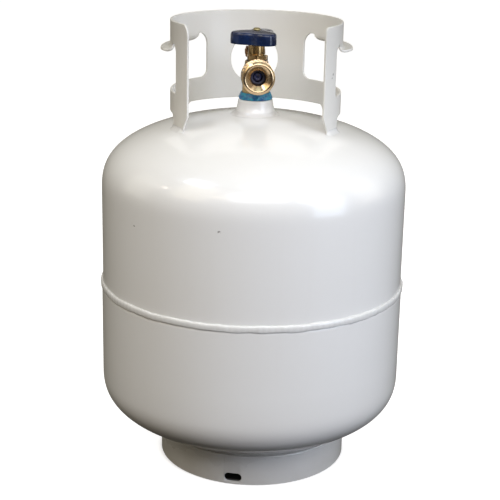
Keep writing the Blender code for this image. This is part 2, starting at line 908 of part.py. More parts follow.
def make_relief_parts(valve):
    turn = Matrix.Rotation(-math.radians(90 - RELIEF_TILT), 4, "X")
    move = Matrix.Translation(Vector((0, RELIEF_Y, RELIEF_Z)) * MM)
    frame = move @ turn
    # Round retainer with square teeth round its rim.
    outline = []
    for k in range(RELIEF_TEETH):
        for f, r in ((-0.5, 8.9), (-0.24, 8.9), (-0.2, 10.4), (0.0, 10.4), (0.2, 10.4), (0.24, 8.9)):
            a = 2 * math.pi * (k + f) / RELIEF_TEETH
            outline.append((r * math.cos(a), r * math.sin(a)))
    nut = finish(
        loft([[(x, y, z) for x, y in outline] for z in (20.3, 26.4)]),
        "relief_retainer",
        BRASS,
        parent=valve,
        matrix=frame,
    )
    boolean(
        nut,
        helper(
            turned(
                [(0, 19.0), (5.0, 19.0), (5.0, 24.4), (3.0, 24.4), (3.0, 30.0), (0, 30.0)], 20
            ),
            "retainer_bore",
            parent=valve,
            matrix=frame,
        ),
    )
    tilted(
        "relief_seat_disc", [(0, 17.3), (4.2, 17.3), (4.2, 18.2), (0, 18.2)], RUBBER, valve, 18
    )
    tilted(
        "relief_poppet",
        [(0, 18.5), (4.5, 18.5), (4.5, 19.5), (1.3, 19.7), (1.3, 24.6), (0, 24.6)],
        BRASS_IN,
        valve,
        18,
    )
    coil("relief_spring", 3.3, 0.4, 20.0, 24.1, 3, STEEL, frame, valve)
    # Bleeder screw for the fixed liquid level, with a cross slot.
    screw = upright(
        "bleeder_screw",
        [
            (0, 410.0),
            (1.6, 410.0),
            (1.6, BLEED_SEAT + 0.3),
            (2.8, BLEED_SEAT + 0.3),
            (2.8, 422.8),
            (2.3, 423.5),
            (0, 423.5),
        ],
        BRASS,
        valve,
        20,
    )
    slot = box((-4.5, -0.45, 422.0), (4.5, 0.45, 425.0))
    move = Matrix.Translation(Vector((BLEED_X, BLEED_Y, 0)) * MM)
    across = Matrix.Rotation(math.radians(20), 4, "Z")
    boolean(screw, helper(slot, "bleeder_slot", parent=valve, matrix=move @ across))


def make_inner_parts(valve):
    # Fixed liquid level dip tube, open right through.
    tube = turned([(0.9, 240.0), (1.5, 240.0), (1.5, 339.6), (0.9, 339.6)], 12)
    for v in tube.verts:
        v.co.y -= 10.0
    finish(tube, "dip_tube", BRASS_IN, parent=valve)
    # Stop-fill housing: plugs into the inlet, guides the piston, carries the float's pin.
    housing = finish(
        turned(
            [
                (1.9, 346.0),
                (3.2, 346.0),
                (3.2, 339.6),
                (7.4, 339.6),
                (7.4, 296.0),
                (5.0, 296.0),
                (5.0, 334.0),
                (1.9, 334.0),
            ],
            24,
        ),
        "stop_fill_housing",
        PLASTIC,
        parent=valve,
    )
    boolean(
        housing, helper(box((-3.5, -12, 290), (3.5, 12, 311.2)), "float_slot", parent=valve)
    )
    across = Matrix.Rotation(math.radians(90), 4, "Y")
    at = Matrix.Translation(Vector((0, 0, FLOAT_PIVOT_Z)) * MM)
    boolean(
        housing,
        helper(
            turned([(0, -10), (1.5, -10), (1.5, 10), (0, 10)], 14),
            "float_pin_bore",
            parent=valve,
            matrix=at @ across,
        ),
    )
    finish(
        turned([(0, -7.0), (1.2, -7.0), (1.2, 7.0), (0, 7.0)], 12),
        "float_pin",
        STEEL,
        parent=valve,
        matrix=at @ across,
    )
    finish(
        turned(
            [(0, 309.7), (4.6, 309.7), (4.6, 328.6), (1.6, 328.6), (1.6, 329.6), (0, 329.6)],
            18,
        ),
        "stop_fill_piston",
        PLASTIC,
        parent=valve,
        origin=(0, 0, 309.7),
    )
    # Float arm: an eye round the pin, a cam lobe towards the back and a bar down to the float.
    zc = FLOAT_PIVOT_Z
    outline = []
    for k in range(-2, 15):
        a = math.radians(15 * k)  # from the back, over the top, to the front
        outline.append((4.0 * math.cos(a), zc + 4.0 * math.sin(a)))
    outline += [(-2.6, zc - 3.4), (-2.6, zc - 17.0), (2.6, zc - 17.0), (2.6, zc - 3.4)]
    outline[0:5] = [(4.0, zc - 1.6), (7.4, zc - 0.8), (7.4, zc + 1.0), (3.7, zc + 2.0)]
    arm = loft([[(x, y, z) for y, z in outline] for x in (-3.0, 3.0)])
    arm_obj = finish(arm, "float_arm", PLASTIC, parent=valve, origin=(0, 0, zc))
    boolean(
        arm_obj,
        helper(
            turned([(0, -8), (1.5, -8), (1.5, 8), (0, 8)], 14),
            "float_arm_bore",
            parent=valve,
            matrix=at @ across,
        ),
    )
    rings = []
    for z, k in ((222.0, 0.55), (224.5, 0.88), (229.0, 1.0), (280.0, 1.0), (285.0, 0.9), (287.6, 0.5)):
        ring = []
        for i in range(16):
            a = 2 * math.pi * i / 16
            c, s = math.cos(a), math.sin(a)
            ring.append(
                (
                    10.0 * k * math.copysign(abs(c) ** 0.6, c),
                    8.0 * k * math.copysign(abs(s) ** 0.6, s),
                    z,
                )
            )
        rings.append(ring)
    finish(loft(rings), "float_block", FOAM, parent=valve, origin=(0, 0, zc))


def main():
    clear_scene()
    make_shell()
    make_foot()
    make_collar()
    make_boss()
    valve = bpy.data.objects.new("valve_axis", None)
    bpy.context.scene.collection.objects.link(valve)
    valve.rotation_euler = (0, 0, math.radians(VALVE_YAW))
    make_valve_body(valve)
    make_bonnet(valve)
    make_stem_parts()
    make_outlet_parts(valve)
    make_relief_parts(valve)
    make_inner_parts(valve)


main()
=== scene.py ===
"""Looks of the propane tank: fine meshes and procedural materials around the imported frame."""

import math

import bmesh
import bpy
from mathutils import Matrix, Vector, noise


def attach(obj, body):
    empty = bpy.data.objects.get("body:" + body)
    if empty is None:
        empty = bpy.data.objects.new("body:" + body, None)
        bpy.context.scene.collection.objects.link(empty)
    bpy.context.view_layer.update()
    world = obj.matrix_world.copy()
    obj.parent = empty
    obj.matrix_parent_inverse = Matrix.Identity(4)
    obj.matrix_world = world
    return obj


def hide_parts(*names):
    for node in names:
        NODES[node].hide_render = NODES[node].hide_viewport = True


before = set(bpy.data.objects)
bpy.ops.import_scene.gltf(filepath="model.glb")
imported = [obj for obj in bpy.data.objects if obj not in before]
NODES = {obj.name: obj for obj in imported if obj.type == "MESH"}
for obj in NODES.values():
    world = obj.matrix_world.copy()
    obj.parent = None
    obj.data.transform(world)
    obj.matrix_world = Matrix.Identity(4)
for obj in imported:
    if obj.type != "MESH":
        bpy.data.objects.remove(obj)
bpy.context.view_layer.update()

MM = 0.001


# ---------------------------------------------------------------- mesh helpers
def obj_from(bm, name, mats, smooth=40.0, matrix=None):
    """A bmesh in millimetres becomes an object in metres with its faces pointing out."""
    bmesh.ops.recalc_face_normals(bm, faces=bm.faces)
    if bm.calc_volume(signed=True) < 0:
        bmesh.ops.reverse_faces(bm, faces=bm.faces)
    bm.transform(Matrix.Scale(MM, 4))
    if matrix is not None:
        bm.transform(matrix)
    mesh = bpy.data.meshes.new(name)
    bm.to_mesh(mesh)
    bm.free()
    mesh.shade_smooth()
    mesh.set_sharp_from_angle(angle=math.radians(smooth))
    obj = bpy.data.objects.new(name, mesh)
    bpy.context.scene.collection.objects.link(obj)
    for mat in mats if isinstance(mats, (list, tuple)) else [mats]:
        mesh.materials.append(mat)
    return obj


def soft_corners(points, radius, steps=3, closed=True):
    """Rounds each corner of a profile. radius is one number or one for each point."""
    out = []
    n = len(points)
    for i in range(n):
        p = Vector(points[i])
        r = radius[i] if isinstance(radius, (list, tuple)) else radius
        if not closed and i in (0, n - 1):
            out.append(tuple(p))
            continue
        a, b = Vector(points[i - 1]) - p, Vector(points[(i + 1) % n]) - p
        if r <= 0 or p[0] < 1e-6 or a.length < 1e-6 or b.length < 1e-6:
            out.append(tuple(p))
            continue
        d = min(r, 0.42 * a.length, 0.42 * b.length)
        p0, p1 = p + a.normalized() * d, p + b.normalized() * d
        for k in range(steps + 1):
            t = k / steps
            q = p0 * (1 - t) ** 2 + p * 2 * t * (1 - t) + p1 * t * t
            out.append(tuple(q))
    return out


def lathe(profile, sides=96, wobble=None):
    """A closed body turned about Z from (r, z) points. wobble(r, z, angle) may move each point."""
    bm = bmesh.new()
    rings = []
    for r, z in profile:
        if r < 1e-6:
            rings.append([bm.verts.new((0, 0, z))])
            continue
        ring = []
        for k in range(sides):
            a = 2 * math.pi * k / sides
            rr, zz = (r, z) if wobble is None else wobble(r, z, a)
            ring.append(bm.verts.new((rr * math.sin(a), -rr * math.cos(a), zz)))
        rings.append(ring)
    n = len(rings)
    for i in range(n):
        a, b = rings[i], rings[(i + 1) % n]
        if len(a) == 1 and len(b) == 1:
            continue
        for k in range(sides):
            j = (k + 1) % sides
            if len(a) == 1:
                bm.faces.new((a[0], b[k], b[j]))
            elif len(b) == 1:
                bm.faces.new((a[k], b[0], a[j]))
            else:
                bm.faces.new((a[k], b[k], b[j], a[j]))
    return bm


def loft(rings, caps=True):
    bm = bmesh.new()
    made = [[bm.verts.new(p) for p in ring] for ring in rings]
    n = len(rings[0])
    for a, b in zip(made, made[1:]):
        for k in range(n):
            j = (k + 1) % n
            bm.faces.new((a[k], a[j], b[j], b[k]))
    if caps:
        bm.faces.new(made[0])
        bm.faces.new(made[-1])
    return bm


def hidden_tool(bm, name, matrix=None):
    obj = obj_from(bm, name, [], matrix=matrix)
    obj.hide_render = True
    obj.display_type = "WIRE"
    return obj


def apply_boolean(obj, other, operation="DIFFERENCE"):
    mod = obj.modifiers.new("cut", "BOOLEAN")
    mod.object = other
    mod.operation = operation
    mod.solver = "EXACT"
    bake_modifiers(obj)
    bpy.data.objects.remove(other, do_unlink=True)


def bake_modifiers(obj):
    graph = bpy.context.evaluated_depsgraph_get()
    graph.update()
    mesh = bpy.data.meshes.new_from_object(obj.evaluated_get(graph))
    old = obj.data
    obj.modifiers.clear()
    obj.data = mesh
    bpy.data.meshes.remove(old)


def n3(x, y, z, scale, seed=0.0):
    return noise.noise(Vector((x * scale + seed, y * scale - seed, z * scale + 2 * seed)))


def fine(piece, body, slot, *replaced):
    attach(piece, body)
    if replaced:
        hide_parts(*replaced)
    return piece


# ------------------------------------------------------------ material helpers
class Nodes:
    """A small builder for node trees."""

    def __init__(self, name):
        self.mat = bpy.data.materials.new(name)
        self.mat.use_nodes = True
        self.tree = self.mat.node_tree
        self.shader = self.tree.nodes["Principled BSDF"]

    def node(self, kind, **values):
        made = self.tree.nodes.new(kind)
        for key, value in values.items():
            if hasattr(made, key) and key not in made.inputs:
                setattr(made, key, value)
            else:
                made.inputs[key].default_value = value
        return made

    def link(self, a, b):
        self.tree.links.new(a, b)

    def coords(self):
        if not hasattr(self, "_pos"):
            self._pos = self.node("ShaderNodeTexCoord").outputs["Object"]
        return self._pos

    def noise(self, scale, detail=3.0, rough=0.5, vector=None, distortion=0.0):
        made = self.node("ShaderNodeTexNoise")
        made.inputs["Scale"].default_value = scale
        made.inputs["Detail"].default_value = detail
        made.inputs["Roughness"].default_value = rough
        made.inputs["Distortion"].default_value = distortion
        self.link(vector or self.coords(), made.inputs["Vector"])
        return made.outputs["Fac"]

    def math(self, op, a, b=None, c=None, clamp=False):
        made = self.node("ShaderNodeMath")
        made.operation = op
        made.use_clamp = clamp
        for i, v in enumerate((a, b, c)):
            if v is None:
                continue
            if hasattr(v, "is_output"):
                self.link(v, made.inputs[i])
            else:
                made.inputs[i].default_value = v
        return made.outputs[0]

    def remap(self, value, a, b, c, d, smooth=False):
        made = self.node("ShaderNodeMapRange")
        made.clamp = True
        if smooth:
            made.interpolation_type = "SMOOTHSTEP"
        self.link(value, made.inputs["Value"])
        for key, v in (("From Min", a), ("From Max", b), ("To Min", c), ("To Max", d)):
            made.inputs[key].default_value = v
        return made.outputs["Result"]

    def mix(self, fac, a, b):
        made = self.node("ShaderNodeMix")
        made.data_type = "RGBA"
        ins = [s for s in made.inputs if s.enabled]
        for socket, v in zip(ins, (fac, a, b)):
            if hasattr(v, "is_output"):
                self.link(v, socket)
            elif isinstance(v, (tuple, list)):
                socket.default_value = (*v, 1.0) if len(v) == 3 else v
            else:
                socket.default_value = v
        return [s for s in made.outputs if s.enabled][0]

    def bump(self, height, strength, distance, normal=None):
        made = self.node("ShaderNodeBump")
        made.inputs["Strength"].default_value = strength
        made.inputs["Distance"].default_value = distance
        self.link(height, made.inputs["Height"])
        if normal is not None:
            self.link(normal, made.inputs["Normal"])
        return made.outputs["Normal"]

    def xyz(self):
        sep = self.node("ShaderNodeSeparateXYZ")
        self.link(self.coords(), sep.inputs[0])
        return sep.outputs

    def stretched(self, x, y, z):
        mapping = self.node("ShaderNodeMapping")
        self.link(self.coords(), mapping.inputs["Vector"])
        mapping.inputs["Scale"].default_value = (x, y, z)
        return mapping.outputs["Vector"]

    def set(self, **values):
        for key, value in values.items():
            name = key.replace("_", " ")
            socket = self.shader.inputs[name]
            if hasattr(value, "is_output"):
                self.link(value, socket)
            elif isinstance(value, tuple) and len(value) == 3:
                socket.default_value = (*value, 1.0)
            else:
                socket.default_value = value


def paint(name, colour, peel=1.0, grime=1.0, chips=(), wave=1.0, coat=0.5, dull=0.0):
    """Sprayed off-white enamel over steel: orange peel, faint stains, dust low down, and painted shade darkening it
    towards the foot.
    """
    m = Nodes(name)
    x, y, z = m.xyz()
    cloud = m.noise(9.0, 5.0, 0.6)
    fleck = m.noise(620.0, 2.0, 0.5)
    streak = m.noise(1.0, 4.0, 0.55, m.stretched(70.0, 70.0, 6.0))
    warm = tuple(c * k for c, k in zip(colour, (0.965, 0.94, 0.90)))
    base = m.mix(m.remap(cloud, 0.40, 0.80, 0.0, 0.16 * grime), colour, warm)
    dusty = tuple(c * k for c, k in zip(colour, (0.84, 0.80, 0.74)))
    base = m.mix(m.remap(streak, 0.55, 0.85, 0.0, 0.07 * grime), base, dusty)
    # road dust, thicker near the ground
    low = m.math(
        "MULTIPLY",
        m.remap(z, 0.0, 0.040, 0.22 * grime, 0.0, smooth=True),
        m.remap(m.noise(45.0, 4.0, 0.6), 0.3, 0.7, 0.35, 1.0),
    )
    base = m.mix(low, base, (0.40, 0.36, 0.30))
    # pin-prick specks in the paint
    speck = m.remap(fleck, 0.815, 0.84, 0.0, 0.22)
    base = m.mix(speck, base, (0.30, 0.28, 0.25))
    chip_mask = None
    for (cx, cy, cz), size, stretch in chips:
        diff = m.node("ShaderNodeVectorMath")
        diff.operation = "SUBTRACT"
        m.link(m.coords(), diff.inputs[0])
        diff.inputs[1].default_value = (cx, cy, cz)
        scale = m.node("ShaderNodeVectorMath")
        scale.operation = "MULTIPLY"
        m.link(diff.outputs[0], scale.inputs[0])
        scale.inputs[1].default_value = stretch
        length = m.node("ShaderNodeVectorMath")
        length.operation = "LENGTH"
        m.link(scale.outputs[0], length.inputs[0])
        ragged = m.math(
            "ADD", length.outputs["Value"], m.remap(m.noise(900.0, 2.0), 0.3, 0.7, -0.35 * size, 0.35 * size)
        )
        mask = m.remap(ragged, size * 0.75, size, 1.0, 0.0)
        chip_mask = mask if chip_mask is None else m.math("MAXIMUM", chip_mask, mask)
    if chip_mask is not None:
        base = m.mix(m.math("MULTIPLY", chip_mask, 0.75), base, (0.16, 0.15, 0.14))
    rough = m.remap(m.noise(14.0, 3.0, 0.5), 0.3, 0.7, 0.23 + dull, 0.27 + dull)
    rough = m.math("ADD", rough, m.math("MULTIPLY", low, 0.5), clamp=True)
    peel_height = m.math(
        "ADD",
        m.math("MULTIPLY", m.noise(330.0, 2.0, 0.5), 0.5),
        m.math("MULTIPLY", m.noise(1100.0, 1.0, 0.5), 0.15),
    )
    normal = m.bump(peel_height, 0.10 * peel, 0.0004)
    normal = m.bump(m.noise(30.0, 2.0, 0.5), 0.12 * wave, 0.0008, normal)
    # painted shade: the colour darkens towards the foot, standing in for the shade low on the tank; it also darkens
    # towards the collar's top edge
    height = m.xyz()[2]
    base = m.mix(m.remap(height, 0.045, 0.120, 0.12, 0.0), base, (0.10, 0.085, 0.06))
    base = m.mix(m.remap(height, 0.405, 0.455, 0.0, 0.13), base, (0.12, 0.11, 0.09))
    m.set(
        Base_Color=base,
        Roughness=rough,
        Normal=normal,
        Metallic=0.0,
        Specular_IOR_Level=0.5,
        Coat_Weight=coat,
        Coat_Roughness=0.06,
    )
    return m.mat


def brass(name, colour, forged=0.0, lines=0.0, rough=(0.2, 0.34), age=1.0):
    """Yellow brass; forged skin is rough, turned faces carry fine lines along their axis."""
    m = Nodes(name)
    cloud = m.noise(60.0, 5.0, 0.6)
    fine_n = m.noise(520.0, 3.0, 0.6)
    pale = tuple(min(1.0, c * k) for c, k in zip(colour, (1.10, 1.14, 1.22)))
    dull = tuple(c * k for c, k in zip(colour, (0.62, 0.52, 0.42)))
    base = m.mix(m.remap(cloud, 0.35, 0.65, 0.0, 0.8 * age), colour, pale)
    base = m.mix(m.remap(m.noise(140.0, 4.0, 0.65), 0.58, 0.78, 0.0, 0.75 * age), base, dull)
    r = m.remap(m.noise(90.0, 4.0, 0.6), 0.3, 0.7, rough[0], rough[1])
    if forged:
        r = m.math("ADD", r, m.remap(fine_n, 0.4, 0.7, 0.0, 0.14 * forged), clamp=True)
    height = m.math("MULTIPLY", fine_n, 0.25 + forged)
    normal = m.bump(height, 0.25 * max(forged, 0.25), 0.0004)
    if lines:
        attr = m.node("ShaderNodeAttribute")
        attr.attribute_name = "along"
        wave = m.node("ShaderNodeTexNoise")
        wave.noise_dimensions = "1D"
        wave.inputs["Scale"].default_value = 5.0
        wave.inputs["Detail"].default_value = 3.0
        m.link(attr.outputs["Fac"], wave.inputs["W"])
        normal = m.bump(wave.outputs["Fac"], 0.35 * lines, 0.00018, normal)
    m.set(Base_Color=base, Roughness=r, Normal=normal, Metallic=1.0)
    return m.mat


def lacquer():
    """Glossy navy enamel on the handwheel, with dust in it and pale edges that are partly rubbed wear and partly a
    painted highlight.
    """
    m = Nodes("navy_enamel")
    cloud = m.noise(90.0, 4.0, 0.6)
    base = m.mix(m.remap(cloud, 0.35, 0.7, 0.0, 1.0), (0.004, 0.010, 0.036), (0.006, 0.022, 0.085))
    speck = m.remap(m.noise(1500.0, 2.0, 0.5), 0.74, 0.80, 0.0, 0.35)
    base = m.mix(speck, base, (0.20, 0.24, 0.32))
    # pale blue-grey along convex edges: partly rubbed wear, partly a painted edge highlight
    geo = m.node("ShaderNodeNewGeometry")
    edge = m.remap(geo.outputs["Pointiness"], 0.545, 0.60, 0.0, 1.0)
    wear_and_edge_highlight = m.math("MULTIPLY", edge, m.remap(m.noise(260.0, 4.0, 0.7), 0.52, 0.62, 0.0, 0.75))
    base = m.mix(wear_and_edge_highlight, base, (0.22, 0.26, 0.36))
    rough = m.remap(m.noise(70.0, 3.0, 0.6), 0.3, 0.7, 0.22, 0.30)
    normal = m.bump(m.noise(420.0, 3.0, 0.55), 0.10, 0.0004)
    normal = m.bump(m.noise(75.0, 2.0, 0.5), 0.25, 0.0008, normal)
    m.set(
        Base_Color=base,
        Roughness=rough,
        Normal=normal,
        Specular_IOR_Level=0.25,
        Coat_Weight=0.5,
        Coat_Roughness=0.04,
    )
    return m.mat


def sealant():
    """Anaerobic thread sealant squeezed out of the joint: teal to deep blue, waxy."""
    m = Nodes("blue_sealant")
    a = m.noise(170.0, 4.0, 0.65, distortion=0.6)
    b = m.noise(420.0, 3.0, 0.6)
    base = m.mix(m.remap(a, 0.38, 0.62, 0.0, 1.0), (0.005, 0.080, 0.28), (0.012, 0.30, 0.42))
    base = m.mix(m.remap(b, 0.60, 0.74, 0.0, 0.7), base, (0.06, 0.42, 0.46))
    normal = m.bump(m.math("ADD", a, m.math("MULTIPLY", b, 0.4)), 0.6, 0.0012)
    m.set(
        Base_Color=base,
        Roughness=m.remap(b, 0.3, 0.7, 0.22, 0.5),
        Normal=normal,
        Subsurface_Weight=0.0,
        Coat_Weight=0.25,
        Coat_Roughness=0.2,
    )
    return m.mat


def rubber(name, colour=(0.012, 0.014, 0.032), rough=(0.38, 0.6)):
    m = Nodes(name)
    a = m.noise(380.0, 4.0, 0.6)
    base = m.mix(m.remap(a, 0.35, 0.7, 0.0, 1.0), colour, tuple(min(1, c * 2.2 + 0.004) for c in colour))
    m.set(
        Base_Color=base,
        Roughness=m.remap(m.noise(150.0, 3.0), 0.3, 0.7, rough[0], rough[1]),
        Normal=m.bump(m.noise(1400.0, 3.0, 0.6), 0.25, 0.0002),
    )
    return m.mat


def steel_wire():
    m = Nodes("spring_wire")
    a = m.noise(300.0, 4.0, 0.6)
    base = m.mix(m.remap(a, 0.35, 0.7, 0.0, 1.0), (0.52, 0.52, 0.53), (0.40, 0.40, 0.42))
    m.set(
        Base_Color=base,
        Metallic=1.0,
        Roughness=m.remap(a, 0.3, 0.7, 0.22, 0.42),
        Normal=m.bump(m.noise(2200.0, 2.0), 0.2, 0.0001),
    )
    return m.mat


def moulded(name, colour, rough=(0.42, 0.56), grain=1800.0, depth=0.25):
    m = Nodes(name)
    a = m.noise(120.0, 3.0, 0.5)
    base = m.mix(m.remap(a, 0.35, 0.7, 0.0, 1.0), colour, tuple(c * 0.82 for c in colour))
    m.set(
        Base_Color=base,
        Roughness=m.remap(a, 0.3, 0.7, rough[0], rough[1]),
        Normal=m.bump(m.noise(grain, 3.0, 0.6), depth, 0.0003),
    )
    return m.mat


PAINT_COLOUR = (0.80, 0.795, 0.785)
BODY_CHIPS = [
    ((-0.0313, -0.1528, 0.2842), 0.0013, (0.55, 1.0, 1.0)),
    ((-0.0290, -0.1532, 0.2850), 0.0007, (1.0, 1.0, 1.0)),
    ((-0.1133, -0.1060, 0.2752), 0.0008, (0.6, 0.6, 1.2)),
    ((-0.1086, -0.1123, 0.2392), 0.0008, (1.0, 1.0, 1.0)),
]
POST_CHIPS = [
    ((0.0749, -0.0422, 0.4136), 0.0013, (1.0, 1.0, 0.9)),
    ((0.0740, -0.0438, 0.4105), 0.0010, (1.0, 1.0, 1.0)),
]
MAT = {
    "paint": paint("white_enamel", PAINT_COLOUR, chips=BODY_CHIPS),
    # the collar's colour is darker and warmer than the body's paint: painted shade for the inside of the collar
    "collar": paint("white_enamel_collar_painted_shade", (0.735, 0.720, 0.685), peel=1.2, chips=POST_CHIPS, wave=0.8, coat=0.12, dull=0.10),
    # the weld's colour is a little darker than the body's paint: painted shade on the beads; its coarser peel and
    # heavier stains are the weld's own
    "weld": paint("white_enamel_on_weld_shaded", tuple(c * 0.93 for c in PAINT_COLOUR), peel=2.2, grime=1.3, wave=1.8),
    "forged": brass("forged_brass", (0.50, 0.350, 0.165), forged=0.8, rough=(0.26, 0.42)),
    "turned": brass("turned_brass", (0.62, 0.455, 0.275), lines=0.15, rough=(0.15, 0.24), age=0.25),
    "stem_brass": brass("bonnet_brass", (0.50, 0.335, 0.155), lines=0.1, rough=(0.20, 0.30), age=0.5),
    "aged": brass("aged_brass", (0.24, 0.125, 0.055), forged=0.5, rough=(0.34, 0.5)),
    "dull_brass": brass("dull_brass", (0.30, 0.25, 0.12), rough=(0.38, 0.5)),
    "inner_brass": brass("inner_brass", (0.66, 0.47, 0.21), rough=(0.26, 0.4)),
    "navy": lacquer(),
    "sealant": sealant(),
    "rubber": rubber("black_rubber_seal"),
    "navy_rubber": rubber("navy_rubber_seal", (0.010, 0.014, 0.050), (0.22, 0.4)),
    "spring": steel_wire(),
    "plastic": moulded("natural_nylon", (0.62, 0.62, 0.58)),
    "foam": moulded("closed_cell_foam", (0.045, 0.045, 0.05), (0.7, 0.9), 900.0, 0.6),
}

# ------------------------------------------------------------------ the shell
UR, UZ, UH, UN, UM = 155.2, 287.7, 79.2, 1.69, 2.82
LR, LZ, LH, LN, LM = 156.2, 95.05, 64.6, 2.26, 2.74
SEAM = 191.0
WALL = 1.9


def upper_z(r, radius=UR, height=UH):
    return UZ + height * max(0.0, 1 - (r / radius) ** UN) ** (1 / UM)


def lower_z(r, radius=LR, height=LH):
    return LZ - height * max(0.0, 1 - (r / radius) ** LN) ** (1 / LM)


def spread(radius, inner, count):
    out = [inner + (radius - inner) * math.cos(i / count * math.pi / 2) ** 0.62 for i in range(count + 1)]
    out[0], out[-1] = radius, inner
    return out


def dent(r, z, a, amount=0.10):
    """Very slight hand-of-the-press waviness of deep-drawn sheet, always inwards."""
    x, y = math.sin(a) * r, -math.cos(a) * r
    w = 0.5 + 0.5 * n3(x, y, z, 0.016, 3.1)
    w2 = 0.5 + 0.5 * n3(x, y, z, 0.045, 7.7)
    return amount * (0.7 * w + 0.3 * w2)


def shell_wobble(r, z, a):
    return r - dent(r, z, a, 0.16) * (r > 30), z


def build_shell():
    side_z = [SEAM + 1.0 + (UZ - SEAM - 1.0) * k / 22 for k in range(23)]
    outer = [(UR, z) for z in side_z]
    outer += [(r, upper_z(r)) for r in spread(UR, 16.7, 64)[1:]]
    ir, ih = UR - WALL, UH - WALL
    inner = [(16.7, upper_z(16.7, ir, ih))]
    inner += [(r, upper_z(r, ir, ih)) for r in reversed(spread(ir, 16.7, 20)[:-1])]
    inner += [(ir, UZ - 30), (ir, SEAM + 1.0)]
    piece = obj_from(lathe(outer + inner, 192, shell_wobble), "shell_upper_half", MAT["paint"], 30)
    fine(piece, "tank", "white_paint", "upper_head")

    rim = ir - 0.3
    outer = [(rim, SEAM + 14.0), (rim, SEAM + 0.8), (rim + 0.8, SEAM - 0.4), (LR - 0.5, SEAM - 2.2)]
    outer += [(LR, SEAM - 3.2)]
    outer += [(LR, SEAM - 3.2 - (SEAM - 3.2 - LZ) * k / 22) for k in range(1, 23)]
    outer += [(r, lower_z(r)) for r in spread(LR, 0.0, 64)[1:]]
    ir2, ih2 = LR - WALL, LH - WALL
    inner = [(0.0, LZ - ih2)]
    inner += [(r, lower_z(r, ir2, ih2)) for r in reversed(spread(ir2, 0.0, 20)[:-1])]
    inner += [(ir2, SEAM - 6.0), (rim - WALL, SEAM + 0.6), (rim - WALL, SEAM + 14.0)]
    piece = obj_from(lathe(outer + inner, 192, shell_wobble), "shell_lower_half", MAT["paint"], 30)
    fine(piece, "tank", "white_paint", "lower_head")


def build_girth_bead():
    """A machine-laid bead with fine ripples and a few heavier lumps and restarts."""
    sides, count = 1080, 20
    low, high = SEAM - 4.2, SEAM + 4.2
    lumps = [(math.radians(38), 1.0), (math.radians(24), 0.6), (math.radians(51), 0.8), (math.radians(-96), 0.5), (math.radians(172), 1.0), (math.radians(88), 0.7), (math.radians(3), 0.45)]
    bm = bmesh.new()
    rings = []
    for i in range(sides):
        a = 2 * math.pi * i / sides
        s = a * 157.0
        wander = 0.55 * n3(math.sin(a) * 157, math.cos(a) * 157, 0, 0.05, 1.7)
        ripple = 0.10 * math.sin(s / 0.95) + 0.10 * n3(math.sin(a) * 157, math.cos(a) * 157, 0, 0.6, 5.0)
        heavy = sum(w * math.exp(-((((a - c + math.pi) % (2 * math.pi)) - math.pi) / 0.018) ** 2) for c, w in lumps)
        heavy += 0.45 * max(0.0, n3(math.sin(a) * 157, math.cos(a) * 157, 9, 0.11, 2.2))
        top = BEAD_TOP = 157.35 + ripple + 0.6 * heavy
        top = min(top, 158.05)
        half = 3.3 + 0.45 * n3(math.sin(a) * 157, math.cos(a) * 157, 4, 0.16, 9.0) + 0.5 * heavy
        zc = SEAM - 0.35 + wander
        ring = []
        for k in range(count):
            t = k / (count - 1)
            ang = math.pi * t
            z = zc + half * math.cos(ang)
            back = UR + 0.05 if z > SEAM - 1.2 else LR + 0.02
            bulge = max(0.0, math.sin(ang)) ** 0.62
            r = back + (top - back) * bulge
            z = max(low, min(high, z))
            ring.append(bm.verts.new((r * math.sin(a), -r * math.cos(a), z)))
        rings.append(ring)
    for i in range(sides):
        a, b = rings[i], rings[(i + 1) % sides]
        for k in range(count - 1):
            bm.faces.new((a[k], b[k], b[k + 1], a[k + 1]))
        bm.faces.new((a[count - 1], b[count - 1], b[0], a[0]))
    piece = obj_from(bm, "girth_bead", MAT["weld"], 60)
    fine(piece, "tank", "painted_weld", "girth_weld_bead")


# ------------------------------------------------------------------ foot ring
FOOT_R, FOOT_T, FOOT_X = 98.0, 2.6, 3.6


